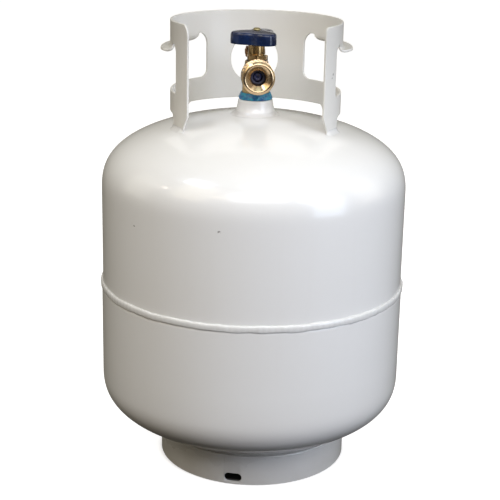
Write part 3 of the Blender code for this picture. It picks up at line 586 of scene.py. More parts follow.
def build_foot():
    top = 37.8
    profile = soft_corners(
        [
            (FOOT_R, 0.0),
            (FOOT_R, 30.9),
            (FOOT_R - 1.5, 31.9),
            (FOOT_R - 1.7, top),
            (FOOT_R - FOOT_T, top),
            (FOOT_R - FOOT_T, 0.0),
        ],
        [0.55, 0.8, 0.5, 0.2, 0.2, 0.55],
        4,
    )
    bm = lathe(profile, 240, lambda r, z, a: (r - 0.10 * (0.5 + 0.5 * n3(math.sin(a) * 98, math.cos(a) * 98, z, 0.03, 4.4)), z))
    for v in bm.verts:
        v.co.x += FOOT_X
    ring = obj_from(bm, "foot_ring_sheet", MAT["paint"], 40)
    az, zc, w, h = math.radians(-11.2), 7.4, 18.0, 9.2
    half = w / 2 - h / 2
    outline = []
    for k in range(20):
        t = math.radians(-90 + 180 * k / 19)
        outline.append((half + h / 2 * math.cos(t), h / 2 * math.sin(t)))
    outline += [(-x, -z) for x, z in outline]
    tool = loft([[(x, y, z) for x, z in outline] for y in (-110.0, -80.0)])
    place = Matrix.Translation((FOOT_X * MM, 0, zc * MM)) @ Matrix.Rotation(az, 4, "Z")
    apply_boolean(ring, hidden_tool(tool, "slot_tool", place))
    bevel = ring.modifiers.new("slot_edge", "BEVEL")
    bevel.width = 0.00035
    bevel.segments = 2
    bevel.limit_method = "ANGLE"
    bevel.angle_limit = math.radians(60)
    bevel.use_clamp_overlap = False
    bake_modifiers(ring)
    ring.data.shade_smooth()
    ring.data.set_sharp_from_angle(angle=math.radians(40))
    fine(ring, "tank", "white_paint", "foot_ring")

    # fillet weld under the shell: it overhangs a narrow groove above the sheet's shoulder
    count = 480
    bm = bmesh.new()
    rows = []
    for k in range(count):
        a = 2 * math.pi * k / count
        sx, cy = math.sin(a), -math.cos(a)
        lump = n3(sx * 98, cy * 98, 0.0, 0.12, 6.6)
        ripple = 0.05 * math.sin(a * 98 / 1.0)

        def under(r):
            return lower_z(math.hypot(FOOT_X + r * sx, r * cy)) - 0.42

        profile = soft_corners(
            [(96.9, 33.9), (98.9, 32.9), (100.4, 33.7), (101.6, 35.8), (102.3, under(102.3)), (96.9, under(96.9))],
            [0.1, 0.8, 0.9, 0.8, 0.1, 0.1],
            4,
        )
        row = []
        for r, z in profile:
            out = max(0.0, (r - 96.9) / 3.4)
            rr = r + out * (0.30 * lump + ripple)
            row.append(bm.verts.new((FOOT_X + rr * sx, rr * cy, z + 0.15 * lump * out)))
        rows.append(row)
    n = len(rows[0])
    for k in range(count):
        one, two = rows[k], rows[(k + 1) % count]
        for i in range(n):
            j = (i + 1) % n
            bm.faces.new((one[i], two[i], two[j], one[j]))
    weld = obj_from(bm, "foot_ring_fillet", MAT["weld"], 60)
    fine(weld, "tank", "painted_weld", "foot_ring_weld")


# --------------------------------------------------------------------- collar
CR, CT = 86.0, 2.6
TAB = (45.5, 107.0)  # degrees from the back
TAB_Z, TAB_BEND = {-1: 437.0, 1: 438.5}, {-1: 6.0, 1: 5.0}
TAB_L, TAB_CURL = 14.2, math.radians(97)


def arc(cx, cz, rx, rz, a0, a1, steps):
    return [
        (
            cx + rx * math.cos(math.radians(a0 + (a1 - a0) * k / steps)),
            cz + rz * math.sin(math.radians(a0 + (a1 - a0) * k / steps)),
        )
        for k in range(steps + 1)
    ]


def collar_loops():
    deg = math.degrees(1 / (CR - CT / 2))
    r = 6.0
    rear_in, rear_out, side_out = 57.0, 75.0, 109.0
    low, foot = 367.0, 356.2

    def half(post, corner):
        side = arc(rear_in - r * deg, low - r, r * deg, r, 90, 0, 10)
        side += [(rear_in, foot), (rear_out, foot)]
        side += arc(rear_out + r * deg, low - r + 2, r * deg, r, 180, 90, 10)
        side += arc(side_out - r * deg, low - r + 2, r * deg, r, 90, 0, 10)
        side += [(side_out, foot), (124.0, foot), (post - 5.0, 358.0), (post, 371.0)]
        return side + corner

    left = half(129.7, arc(124.7, 448.0, 5.0, 12.0, 0, 90, 14))
    right = half(129.0, arc(125.5, 454.5, 3.5, 5.5, 0, 90, 10))
    outline = right + [(-u, z) for u, z in reversed(left)]

    def hand(side):
        front, rear, notch = 114.0, {-1: 38.0, 1: 36.5}[side], {-1: 43.5, 1: 42.0}[side]
        tab_r, tab_f = TAB
        top = TAB_Z[side]
        bottom = top - TAB_L
        q = 8.0
        loop = arc(rear + q * deg, 391.4 + q, q * deg, q, 180, 270, 10)
        loop += arc(front - 3 * deg, 390.4 + 3, 3 * deg, 3, 270, 360, 6)
        loop += [(front, top - 5.5), (front - 1.2, top - 1.9), (front - 3.2, top + 0.7), (front - 5.0, top + 1.5), (tab_f + 0.6, top + 0.9), (tab_f, top)]
        loop += arc(tab_f - 16 * deg, bottom + 12, 16 * deg, 12, 0, -90, 12)
        for k in range(13):
            a = math.radians(7.5 * k)
            loop.append((tab_r + 27 * deg * (1 - math.sin(a) ** 1.35), bottom + 13.2 * (1 - math.cos(a) ** 1.35)))
        loop += [(tab_r, top), (tab_r - 0.7, top + 0.4), (notch, top + 0.5), (notch - 1.2, top - 0.1)]
        loop += [(rear + 2.2, top - 2.6), (rear + 0.9, top - 5.4), (rear + 0.2, top - 8.6), (rear, 426.0)]
        return [(side * u, z) for u, z in loop]

    back = arc(-1.4, 409.0, 25.35 * deg, 25.35, 0, 360, 72)[:-1]
    return outline, [hand(1), hand(-1), back]


def dense(loop, step=2.0):
    """The loop in millimetres along the sheet, with a point at least every step."""
    k = math.radians(1) * (CR - CT / 2)
    pts = [Vector((u * k, z)) for u, z in loop]
    out = []
    for a, b in zip(pts, pts[1:] + pts[:1]):
        n = max(1, int((b - a).length / step))
        if (b - a).length < 1e-5:
            continue
        out += [a + (b - a) * i / n for i in range(n)]
    return out


def inset(loop, amount, hole):
    """Moves a loop into the sheet's metal."""
    area = sum(a.x * b.y - b.x * a.y for a, b in zip(loop, loop[1:] + loop[:1]))
    sign = 1.0 if area > 0 else -1.0
    if hole:
        sign = -sign
    out = []
    n = len(loop)
    for i, p in enumerate(loop):
        a, b = (p - loop[i - 1]).normalized(), (loop[(i + 1) % n] - p).normalized()
        na, nb = Vector((-a.y, a.x)), Vector((-b.y, b.x))
        mid = na + nb
        if mid.length < 1e-6:
            mid = na
        mid.normalize()
        out.append(p + mid * sign * amount / max(0.5, mid.dot(na)))
    return out


def bend_point(s, t, z):
    """Rolls a point of the flat blank up into the collar and curls the two grips out."""
    mid = CR - CT / 2
    u = math.degrees(s / mid)
    r, off_r, off_z = mid, t - CT / 2, 0.0
    side = 1 if u > 0 else -1
    top, bend = TAB_Z[side], TAB_BEND[side]
    if TAB[0] - 0.05 < abs(u) < TAB[1] + 0.05 and 405 < z < top:
        phi = min((top - z) / bend, TAB_CURL)
        rest = max(0.0, top - z - bend * TAB_CURL)
        r += bend * (1 - math.cos(phi)) + rest * math.sin(phi)
        z = top - bend * math.sin(phi) - rest * math.cos(phi)
        off_r, off_z = off_r * math.cos(phi), off_r * math.sin(phi)
    az = math.radians(180 - u)
    r += off_r
    # the hand-rolled sheet is a little out of round and its top edge waves
    r -= 0.25 * (0.5 + 0.5 * n3(math.sin(az) * 86, math.cos(az) * 86, z * 0.5, 0.02, 8.8))
    return Vector((r * math.sin(az), -r * math.cos(az), z + off_z))


def build_collar():
    outline, holes = collar_loops()
    loops = [(dense(outline), False)] + [(dense(h), True) for h in holes]
    e = 0.75
    layers = [
        (0.0, e),
        (e * 0.13, e * 0.5),
        (e * 0.5, e * 0.13),
        (e, 0.0),
        (CT - e, 0.0),
        (CT - e * 0.5, e * 0.13),
        (CT - e * 0.13, e * 0.5),
        (CT, e),
    ]
    bm = bmesh.new()
    ends = {0: [], len(layers) - 1: []}
    for loop, is_hole in loops:
        rings = []
        for i, (t, amount) in enumerate(layers):
            ring = [bm.verts.new((p.x, t, p.y)) for p in inset(loop, amount, is_hole)]
            rings.append(ring)
            if i in ends:
                ends[i].append(ring)
        n = len(loop)
        for a, b in zip(rings, rings[1:]):
            for k in range(n):
                bm.faces.new((a[k], a[(k + 1) % n], b[(k + 1) % n], b[k]))
    for rings in ends.values():
        edges = []
        for ring in rings:
            for k in range(len(ring)):
                edges.append(bm.edges.get((ring[k], ring[(k + 1) % len(ring)])))
        bmesh.ops.triangle_fill(bm, use_beauty=True, use_dissolve=False, edges=edges)
    mid = CR - CT / 2
    for k in range(-64, 65):
        s = math.radians(2.0 * k + 0.37) * mid
        bmesh.ops.bisect_plane(
            bm,
            geom=bm.verts[:] + bm.edges[:] + bm.faces[:],
            dist=1e-4,
            plane_co=(s, 0, 0),
            plane_no=(1, 0, 0),
        )
    lo, hi = math.radians(TAB[0]) * mid - 2, math.radians(TAB[1]) * mid + 2
    for side, k in [(side, k) for side in (-1, 1) for k in range(13)]:
        z = TAB_Z[side] - TAB_BEND[side] * TAB_CURL * k / 12 - 0.003
        faces = [
            f
            for f in bm.faces
            if lo < side * f.calc_center_median().x < hi and 412 < f.calc_center_median().z < 446
        ]
        geom = faces + list({e for f in faces for e in f.edges})
        geom += list({v for f in faces for v in f.verts})
        bmesh.ops.bisect_plane(bm, geom=geom, dist=1e-4, plane_co=(0, 0, z), plane_no=(0, 0, 1))
    for v in bm.verts:
        v.co = bend_point(v.co.x, v.co.y, v.co.z)
    piece = obj_from(bm, "collar_sheet", MAT["collar"], 50)
    weight = piece.modifiers.new("weighted", "WEIGHTED_NORMAL")
    weight.keep_sharp = True
    weight.weight = 60
    bake_modifiers(piece)
    fine(piece, "tank", "white_paint", "collar_guard")

    for name, lo, hi in (
        ("collar_weld_front_right", 54.5, 72.5),
        ("collar_weld_front_left", -72.5, -54.5),
        ("collar_weld_rear_right", 103.5, 124.5),
        ("collar_weld_rear_left", -124.5, -103.5),
    ):
        count, across = 90, 12
        rings = []
        for k in range(count + 1):
            f = k / count
            az = math.radians(lo + (hi - lo) * f)
            x, y = math.sin(az) * 88, math.cos(az) * 88
            fat = (0.25 + 0.75 * min(1.0, 5.0 * min(f, 1 - f)) ** 0.5) * (1.0 + 0.22 * n3(x, y, 0, 0.10, 3.0))
            base = CR + 0.02
            ring = []
            for j in range(across + 1):
                g = j / across
                # a convex quarter fillet from the dome up to the foot
                ang = math.pi / 2 * g
                r = base + 4.4 * fat * (1 - math.sin(ang)) ** 1.15
                z = upper_z(r) + 0.1 + 4.2 * fat * (1 - math.cos(ang)) ** 0.85
                lump = 0.10 * n3(x, y, g * 4, 0.4, 1.0)
                ring.append((r + lump, z))
            ring.append((base, upper_z(base) + 0.1))
            rings.append([(r * math.sin(az), -r * math.cos(az), z) for r, z in ring])
        piece = obj_from(loft(rings), name + "_bead", MAT["weld"], 60)
        fine(piece, "tank", "painted_weld", name)


# ----------------------------------------------------------------------- boss
def build_boss():
    profile = soft_corners(
        [
            (13.9, 352.0),
            (16.3, 352.0),
            (16.3, 366.6),
            (20.4, 366.6),
            (19.9, 369.4),
            (18.6, 372.6),
            (17.9, 376.5),
            (17.6, 379.6),
            (16.9, 380.9),
            (13.9, 380.9),
        ],
        [0.3, 0.3, 0.1, 0.1, 2.0, 2.5, 2.5, 1.0, 0.7, 0.2],
        5,
    )
    piece = obj_from(lathe(profile, 128), "boss", MAT["paint"], 40)
    fine(piece, "tank", "white_paint", "valve_boss")

    def lumpy(r, z, a):
        k = n3(math.sin(a) * 22, math.cos(a) * 22, z * 0.2, 0.30, 2.6)
        out = max(0.0, (r - 19.6) / 5.0)
        return r + out * (0.25 * k), z

    profile = [(19.6, 366.5)]
    for k in range(13):
        t = k / 12
        r = 19.0 + 6.3 * t
        profile.append((r, upper_z(r) + 0.06 + 4.6 * (1 - t) ** 2.3))
    profile.append((24.8, upper_z(24.8) - 0.3))
    piece = obj_from(lathe(profile, 256, lumpy), "boss_fillet", MAT["weld"], 60)
    fine(piece, "tank", "painted_weld", "boss_weld")

    def squeezed(r, z, a):
        x, y = math.sin(a) * 16, math.cos(a) * 16
        out = (r - 13.9) / 2.8
        k = n3(x, y, z * 0.6, 0.28, 0.7) + 0.5 * n3(x, y, z, 0.75, 4.0)
        sag = 0.6 * n3(x, y, 0, 0.35, 9.0)
        return 13.9 + (r - 13.9) * (1.0 + 0.30 * k), z - (0.5 * sag * out if z < 384 else -0.25 * k)

    profile = soft_corners(
        [
            (13.9, 381.2),
            (16.6, 381.1),
            (17.0, 382.4),
            (16.2, 384.6),
            (15.3, 386.2),
            (14.8, 387.8),
            (13.9, 387.9),
        ],
        [0.1, 0.8, 1.0, 1.0, 0.8, 0.6, 0.1],
        5,
    )
    piece = obj_from(lathe(profile, 200, squeezed), "sealant_bead", MAT["sealant"], 60)
    fine(piece, "tank", "thread_sealant", "thread_seal_ring")


# ---------------------------------------------------------------------- valve
YAW = Matrix.Rotation(math.radians(4.0), 4, "Z")
OUT = YAW @ Matrix.Translation((0, 0, 0.407)) @ Matrix.Rotation(math.radians(90), 4, "X")
RELIEF = YAW @ Matrix.Translation((0, 0.002, 0.411)) @ Matrix.Rotation(-math.radians(52), 4, "X")
BLEED = YAW @ Matrix.Translation((0.0095, 0.009, 0.0))


def along(obj, matrix):
    """Stores each point's distance along a turning axis, and from it, in millimetres."""
    inverse = matrix.inverted()
    attr = obj.data.attributes.new("along", "FLOAT", "POINT")
    for i, v in enumerate(obj.data.vertices):
        p = inverse @ v.co
        attr.data[i].value = (p.z + 0.6 * math.hypot(p.x, p.y)) * 1000


def thread_radius(axial, angle, pitch, major, depth, crest=0.37):
    """Radius of a trapezoidal thread at an axial place and an angle."""
    f = (axial / pitch - angle / (2 * math.pi)) % 1.0
    d = abs(f - 0.5) * 2  # 0 at the crest's middle, 1 at the root's middle
    flank = 0.13 * 2
    if d < crest:
        return major
    if d < crest + flank:
        return major - depth * (d - crest) / flank
    return major - depth


def build_outlet():
    sides = 160
    bm = bmesh.new()
    rings = []

    def ring(fn):
        made = []
        for k in range(sides):
            a = 2 * math.pi * k / sides
            r, s = fn(a)
            made.append(bm.verts.new((r * math.sin(a), -r * math.cos(a), s)))
        rings.append(made)

    R, END = 16.45, 38.0
    for r, s in [(14.2, 14.5), (14.2, 15.4)]:
        ring(lambda a, r=r, s=s: (r, s))
    steps = 110
    for i in range(steps + 1):
        s = 15.6 + (END - 1.9 - 15.6) * i / steps
        fade = min(1.0, (s - 15.6) / 1.6)

        def tooth(a, s=s, fade=fade):
            r = thread_radius(s, a, 5.08, R, 1.75)
            cap = R if s < END - 4.2 else R
            return min(14.2 + (r - 14.2) * max(0.15, fade), cap), s

        ring(tooth)
    # rolled front edge, flat face, mouth, cone and bore
    front = soft_corners(
        [
            (R - 0.15, END - 1.9),
            (14.6, END - 0.35),
            (13.3, END),
            (12.6, END - 0.3),
            (7.6, END - 4.6),
            (7.6, 12.0),
            (9.5, 12.0),
            (9.5, 14.5),
        ],
        [0.3, 1.2, 0.6, 0.5, 0.5, 0.2, 0.2, 0.2],
        5,
        closed=False,
    )
    for r, s in front:
        ring(lambda a, r=r, s=s: (r, s))
    n = len(rings)
    for i in range(n):
        a, b = rings[i], rings[(i + 1) % n]
        for k in range(sides):
            j = (k + 1) % sides
            bm.faces.new((a[k], b[k], b[j], a[j]))
    piece = obj_from(bm, "outlet_threaded_end", MAT["turned"], 35, OUT)
    along(piece, OUT)
    fine(piece, "tank", "brass", "valve_body")


def build_casting():
    """The forged body: trunk, necks and bleeder boss, melted together by a fine remesh, then the threaded shank as a
    piece of its own.
    """
    trunk = obj_from(
        lathe(
            [
                (0.0, 385.5),
                (13.3, 385.5),
                (13.5, 388.0),
                (13.5, 398.0),
                (12.9, 402.0),
                (12.6, 404.5),
                (12.6, 413.0),
                (11.6, 415.4),
                (11.2, 419.25),
                (0.0, 419.25),
            ],
            96,
        ),
        "valve_forging",
        MAT["forged"],
        matrix=YAW,
    )
    for tool in (
        hidden_tool(lathe([(0, 0), (14.3, 0), (14.3, 14.4), (0, 14.4)], 96), "neck", OUT),
        hidden_tool(lathe([(0, 0), (8.4, 0), (8.4, 19.9), (0, 19.9)], 64), "relief_neck", RELIEF),
        hidden_tool(lathe([(0, 404), (2.0, 404), (3.5, 407.5), (3.5, 417.4), (0, 417.4)], 48), "boss", BLEED),
    ):
        apply_boolean(trunk, tool, "UNION")
    for tool in (
        hidden_tool(lathe([(0, 419.3), (10.7, 419.3), (10.7, 440), (0, 440)], 72), "spot", YAW),
        hidden_tool(
            lathe([(0, 380), (3.6, 380), (3.6, 399), (7.0, 399), (7.0, 412.2), (8.0, 412.2), (8.0, 425), (0, 425)], 64),
            "bore",
            YAW,
        ),
        hidden_tool(lathe([(0, 0), (5.0, 0), (5.0, 11.8), (9.6, 11.8), (9.6, 20), (0, 20)], 64), "cross", OUT),
        hidden_tool(lathe([(0, 17), (5.0, 17), (5.0, 30), (0, 30)], 48), "relief_hole", RELIEF),
        hidden_tool(
            lathe([(0, 409.6), (1.9, 409.6), (1.9, 417.5), (3.2, 417.5), (3.2, 440), (0, 440)], 48), "bleed_hole", BLEED
        ),
    ):
        apply_boolean(trunk, tool)
    mesh_step = trunk.modifiers.new("remesh", "REMESH")
    mesh_step.mode = "VOXEL"
    mesh_step.voxel_size = 0.00042
    soften = trunk.modifiers.new("soften", "SMOOTH")
    soften.factor = 0.5
    soften.iterations = 7
    bake_modifiers(trunk)
    trunk.data.shade_smooth()
    fine(trunk, "tank", "brass", "valve_body")

    # the tapered shank below the forging, threaded into the boss and wet with sealant
    bm = bmesh.new()
    sides, rings = 96, []
    steps = 150
    for i in range(steps + 1):
        z = 340.0 + 45.5 * i / steps
        ring = []
        for k in range(sides):
            a = 2 * math.pi * k / sides
            r = 12.9 + 0.6 * (z - 342.0) / 42.0
            if 343.0 < z < 384.5:
                r = thread_radius(z, a, 1.81, r, 0.75, crest=0.2)
            elif z < 343.0:
                r = 12.2
            ring.append(bm.verts.new((r * math.sin(a), -r * math.cos(a), z)))
        rings.append(ring)
    for r, z in ((3.6, 385.5), (3.6, 340.0)):
        rings.append(
            [
                bm.verts.new((r * math.sin(2 * math.pi * k / sides), -r * math.cos(2 * math.pi * k / sides), z))
                for k in range(sides)
            ]
        )
    n = len(rings)
    for i in range(n):
        a, b = rings[i], rings[(i + 1) % n]
        for k in range(sides):
            j = (k + 1) % sides
            bm.faces.new((a[k], b[k], b[j], a[j]))
    piece = obj_from(bm, "valve_shank", MAT["inner_brass"], 35, YAW)
    fine(piece, "tank", "brass", "valve_body")


def polar_body(stations, sides):
    """A closed body from stations; each gives (r, z) for an angle."""
    bm = bmesh.new()
    rings = []
    for fn in stations:
        ring = []
        for k in range(sides):
            a = 2 * math.pi * k / sides
            r, z = fn(a)
            ring.append(bm.verts.new((r * math.sin(a), -r * math.cos(a), z)))
        rings.append(ring)
    n = len(rings)
    for i in range(n):
        a, b = rings[i], rings[(i + 1) % n]
        for k in range(sides):
            j = (k + 1) % sides
            bm.faces.new((a[k], b[k], b[j], a[j]))
    return bm


def hex_radius(a, flat, corner=0.35):
    """Polar radius of a hexagon with slightly rounded corners."""
    t = (a % (math.pi / 3)) - math.pi / 6
    r = flat / 2 / math.cos(t)
    limit = flat / math.sqrt(3) - corner
    return r if r < limit else limit + (r - limit) * 0.15


def build_bonnet():
    flat = 17.6
    cone = 8.6

    def top(a):
        r = hex_radius(a, flat)
        return r, 425.2 - max(0.0, r - cone) * 0.55

    def bottom(a):
        r = hex_radius(a, flat)
        return r, 419.7 + max(0.0, r - cone) * 0.30

    bore, groove = 3.4, 5.0
    stations = [
        lambda a: (7.7, 412.8),
        lambda a: (7.7, 419.7),
        lambda a: (cone, 419.7),
        bottom,
        top,
        lambda a: (cone, 425.2),
        lambda a: (8.05, 425.3),
        lambda a: (7.95, 425.9),
        lambda a: (8.3, 426.4),
        lambda a: (8.35, 427.0),
        lambda a: (8.35, 434.4),
        lambda a: (8.15, 435.3),
        lambda a: (7.6, 435.8),
        lambda a: (5.2, 435.8),
        lambda a: (4.9, 435.3),
        lambda a: (bore, 435.3),
        lambda a: (bore, 427.4),
        lambda a: (groove, 427.4),
        lambda a: (groove, 421.0),
        lambda a: (bore, 421.0),
        lambda a: (bore, 412.8),
    ]
    piece = obj_from(polar_body(stations, 144), "bonnet_nut", MAT["stem_brass"], 28, YAW)
    along(piece, YAW)
    fine(piece, "tank", "brass", "valve_bonnet")


def build_handwheel():
    def outline(a, shrink, lobes=1.0):
        phi = a + math.pi / 2 - math.radians(6.5)
        c3, c6 = math.cos(3 * phi), math.cos(6 * phi)
        return 21.35 + 4.55 * lobes * c3 + 0.25 * lobes * c6 - shrink

    low, high = 436.3, 449.3
    spec = [
        # (shrink, z) down the outside, over the top, then the hollow underside
        (0.9, low),
        (0.35, low + 0.15),
        (0.05, low + 0.6),
        (0.0, low + 1.4),
        (0.0, low + 8.6),
        (0.12, low + 9.7),
        (0.55, low + 10.7),
        (1.25, low + 11.4),
        (2.3, low + 11.85),
        (4.0, low + 12.15),
        (6.5, low + 12.45),
    ]
    stations = [lambda a, s=s, z=z: (outline(a, s), z) for s, z in spec]
    for f, z in ((0.25, 12.65), (0.55, 12.85), (0.8, 12.95)):
        stations.append(lambda a, f=f, z=z: ((1 - f) * outline(a, 6.5) + f * 6.6, low + z))
    for r, z in ((6.4, 13.0), (5.6, 13.0), (5.2, 12.7), (2.9, 12.6), (2.9, 0.1), (5.9, 0.1), (6.2, 0.5), (6.6, 5.8), (7.2, 6.4)):
        stations.append(lambda a, r=r, z=z: (r, low + z))
    for s, z in ((5.4, 6.8), (3.9, 6.5), (3.2, 5.8), (2.7, 0.5), (2.4, 0.0)):
        stations.append(lambda a, s=s, z=z: (outline(a, s), low + z))
    piece = obj_from(polar_body(stations, 216), "wheel", MAT["navy"], 50)
    # three ribs across the hollow underside
    for k, lobe in enumerate((-83.5, 36.5, 156.5)):
        a = math.radians(lobe)
        d, w = Vector((math.sin(a), -math.cos(a), 0)), Vector((math.cos(a), math.sin(a), 0))
        rings = []
        for z, half in ((low + 2.2, 0.7), (low + 6.9, 1.0)):
            rings.append(
                [
                    tuple(d * u + w * v + Vector((0, 0, z)))
                    for u, v in ((5.8, -half), (22.6, -half), (22.6, half), (5.8, half))
                ]
            )
        rib = hidden_tool(loft(rings), f"rib{k}")
        apply_boolean(piece, rib, "UNION")
    piece.data.shade_smooth()
    piece.data.set_sharp_from_angle(angle=math.radians(40))
    fine(piece, "handwheel", "navy_lacquer", "handwheel")

    profile = soft_corners(
        [(0, 441.0), (1.6, 441.0), (1.6, 449.5), (3.9, 449.5), (3.9, 450.3), (3.5, 451.2), (2.4, 451.8), (0, 452.2)],
        [0, 0.2, 0.1, 0.3, 0.4, 0.6, 0.8, 0],
        4,
    )
    screw = obj_from(lathe(profile, 64), "wheel_screw", MAT["dull_brass"], 35)
    slot = loft([[(-5, -0.45, z), (5, -0.45, z), (5, 0.45, z), (-5, 0.45, z)] for z in (451.1, 453.0)])
    apply_boolean(screw, hidden_tool(slot, "screw_slot", Matrix.Rotation(math.radians(25), 4, "Z")))
    screw.data.shade_smooth()
    screw.data.set_sharp_from_angle(angle=math.radians(35))
    along(screw, Matrix.Identity(4))
    fine(screw, "handwheel", "brass", "handwheel_screw")


def build_small():
    # seal and poppet in the outlet's mouth
    ring = soft_corners(
        [(4.9, 22.2), (7.35, 22.2), (7.35, 27.3), (6.8, 27.9), (5.5, 27.9), (4.9, 27.2)],
        [0.2, 0.2, 0.5, 0.5, 0.5, 0.5],
        4,
    )
    piece = obj_from(lathe(ring, 96), "mouth_seal", MAT["rubber"], 40, OUT)
    fine(piece, "tank", "black_rubber", "outlet_seal_ring")
    poppet = soft_corners(
        [
            (0, 12.4),
            (1.3, 12.4),
            (1.3, 20.2),
            (6.4, 20.2),
            (6.4, 21.6),
            (4.4, 21.9),
            (4.4, 24.6),
            (3.7, 26.0),
            (2.5, 26.4),
            (1.5, 26.0),
            (1.1, 24.4),
            (0, 24.2),
        ],
        [0, 0.1, 0.1, 0.3, 0.3, 0.2, 0.8, 0.8, 0.6, 0.5, 0.3, 0],
        4,
    )
    piece = obj_from(lathe(poppet, 96), "mouth_poppet", MAT["navy_rubber"], 40, OUT)
    fine(piece, "check_valve", "black_rubber", "check_poppet")

    # round retainer of the relief valve, with square teeth round its rim
    def toothed(a, inset_by=0.0):
        t = abs(((a - math.pi / 2) * 14 / (2 * math.pi) + 0.5) % 1.0 - 0.5)
        f = min(1.0, max(0.0, (t - 0.19) / 0.06))
        return 10.4 - 1.6 * f * f * (3 - 2 * f) - inset_by

    stations = [
        lambda a: (5.0, 20.3),
        lambda a: (8.2, 20.3),
        lambda a: (toothed(a, 0.35), 20.35),
        lambda a: (toothed(a), 20.7),
        lambda a: (toothed(a), 25.7),
        lambda a: (toothed(a, 0.15), 26.15),
        lambda a: (toothed(a, 0.6), 26.4),
        lambda a: (7.6, 26.4),
        lambda a: (7.2, 25.9),
        lambda a: (3.3, 25.9),
        lambda a: (3.0, 25.6),
        lambda a: (3.0, 24.4),
        lambda a: (5.0, 24.4),
    ]
    piece = obj_from(polar_body(stations, 360), "relief_nut", MAT["aged"], 30, RELIEF)
    along(piece, RELIEF)
    fine(piece, "tank", "brass", "relief_retainer")

    poppet = soft_corners(
        [(0, 18.5), (4.5, 18.5), (4.5, 19.5), (1.3, 19.7), (1.3, 24.4), (0, 24.6)],
        [0, 0.2, 0.2, 0.4, 0.4, 0],
        3,
    )
    piece = obj_from(lathe(poppet, 64), "relief_plunger", MAT["turned"], 35, RELIEF)
    along(piece, RELIEF)
    fine(piece, "relief_valve", "machined_brass", "relief_poppet")

    screw = obj_from(
        lathe(
            soft_corners(
                [(0, 410.0), (1.6, 410.0), (1.6, 417.8), (2.8, 417.8), (2.8, 422.8), (2.1, 423.5), (0, 423.5)],
                [0, 0.2, 0.1, 0.3, 0.4, 0.4, 0],
                4,
            ),
            72,
        ),
        "bleeder_head",
        MAT["turned"],
        35,
        BLEED,
    )
    slot = loft([[(-5, -0.45, z), (5, -0.45, z), (5, 0.45, z), (-5, 0.45, z)] for z in (422.2, 425.0)])
    apply_boolean(screw, hidden_tool(slot, "bleeder_slot", BLEED @ Matrix.Rotation(math.radians(20), 4, "Z")))
    screw.data.shade_smooth()
    screw.data.set_sharp_from_angle(angle=math.radians(35))
    along(screw, BLEED)
    fine(screw, "bleeder", "brass", "bleeder_screw")

    # spring wires, finer than the frame's
    for name, node, body, frame_m, radius, start, end, turns in (
        ("check_spring_wire", "check_spring", "tank", OUT, 4.4, 12.3, 19.9, 4.0),
        ("relief_spring_wire", "relief_spring", "tank", RELIEF, 3.3, 20.0, 24.1, 3.0),
    ):
        wire, sides, per = 0.4, 12, 32
        rings = []
        for k in range(int(turns * per) + 1):
            f = k / (turns * per)
            a = 2 * math.pi * turns * f
            z = start + wire + (end - start - 2 * wire) * f
            centre = Vector((radius * math.cos(a), radius * math.sin(a), z))
            out = Vector((math.cos(a), math.sin(a), 0))
            slope = (end - start - 2 * wire) / (2 * math.pi * turns)
            ahead = Vector((-radius * math.sin(a), radius * math.cos(a), slope)).normalized()
            up = ahead.cross(out)
            rings.append(
                [
                    tuple(centre + wire * (math.cos(2 * math.pi * j / sides) * out + math.sin(2 * math.pi * j / sides) * up))
                    for j in range(sides)
                ]
            )
        piece = obj_from(loft(rings), name, MAT["spring"], 60, frame_m)
        fine(piece, body, "spring_steel", node)

    # carried-over pieces keep their shape and take procedural materials
    for node, key in {
        "bonnet_seal_ring": "rubber",
        "stem_o_ring": "rubber",
        "seat_disc": "rubber",
        "relief_seat_disc": "rubber",
        "valve_stem": "inner_brass",
        "seat_carrier": "inner_brass",
        "dip_tube": "inner_brass",
        "stop_fill_housing": "plastic",
        "stop_fill_piston": "plastic",
        "float_arm": "plastic",
        "float_pin": "spring",
        "float_block": "foam",
    }.items():
        mesh = NODES[node].data
        mesh.materials.clear()
        mesh.materials.append(MAT[key])


# --------------------------------------------------------- stage, light, camera
def area(name, place, target, size, power, colour=(1, 1, 1), size_y=None, spread_deg=180):
    data = bpy.data.lights.new(name, "AREA")
    data.energy = power
    data.color = colour
    data.shape = "RECTANGLE"
    data.size = size
    data.size_y = size_y or size
    data.spread = math.radians(spread_deg)
    obj = bpy.data.objects.new(name, data)
    bpy.context.scene.collection.objects.link(obj)
    obj.location = place
    obj.rotation_mode = "QUATERNION"
    obj.rotation_quaternion = (Vector(target) - Vector(place)).to_track_quat("-Z", "Y")
    return obj


# lobes of the surround: direction, sharpness, colour, strength
WORLD_LOBES = [
    ((0.0, 0.0, 1.0), 2.0, (1.000, 0.906, 0.693), 0.325),
    ((0.75, -0.66, 0.1), 3.0, (1.000, 0.658, 0.762), 0.036),
    ((-0.8, -0.5, 0.1), 3.0, (1.000, 1.000, 1.000), 0.000),
    ((0.0, 1.0, 0.1), 3.0, (1.000, 0.930, 0.757), 0.085),
    ((0.1, -0.9, -0.4), 6.0, (1.000, 1.000, 1.000), 0.000),
    ((0.0, 0.0, -1.0), 2.0, (1.000, 1.000, 1.000), 0.000),
]
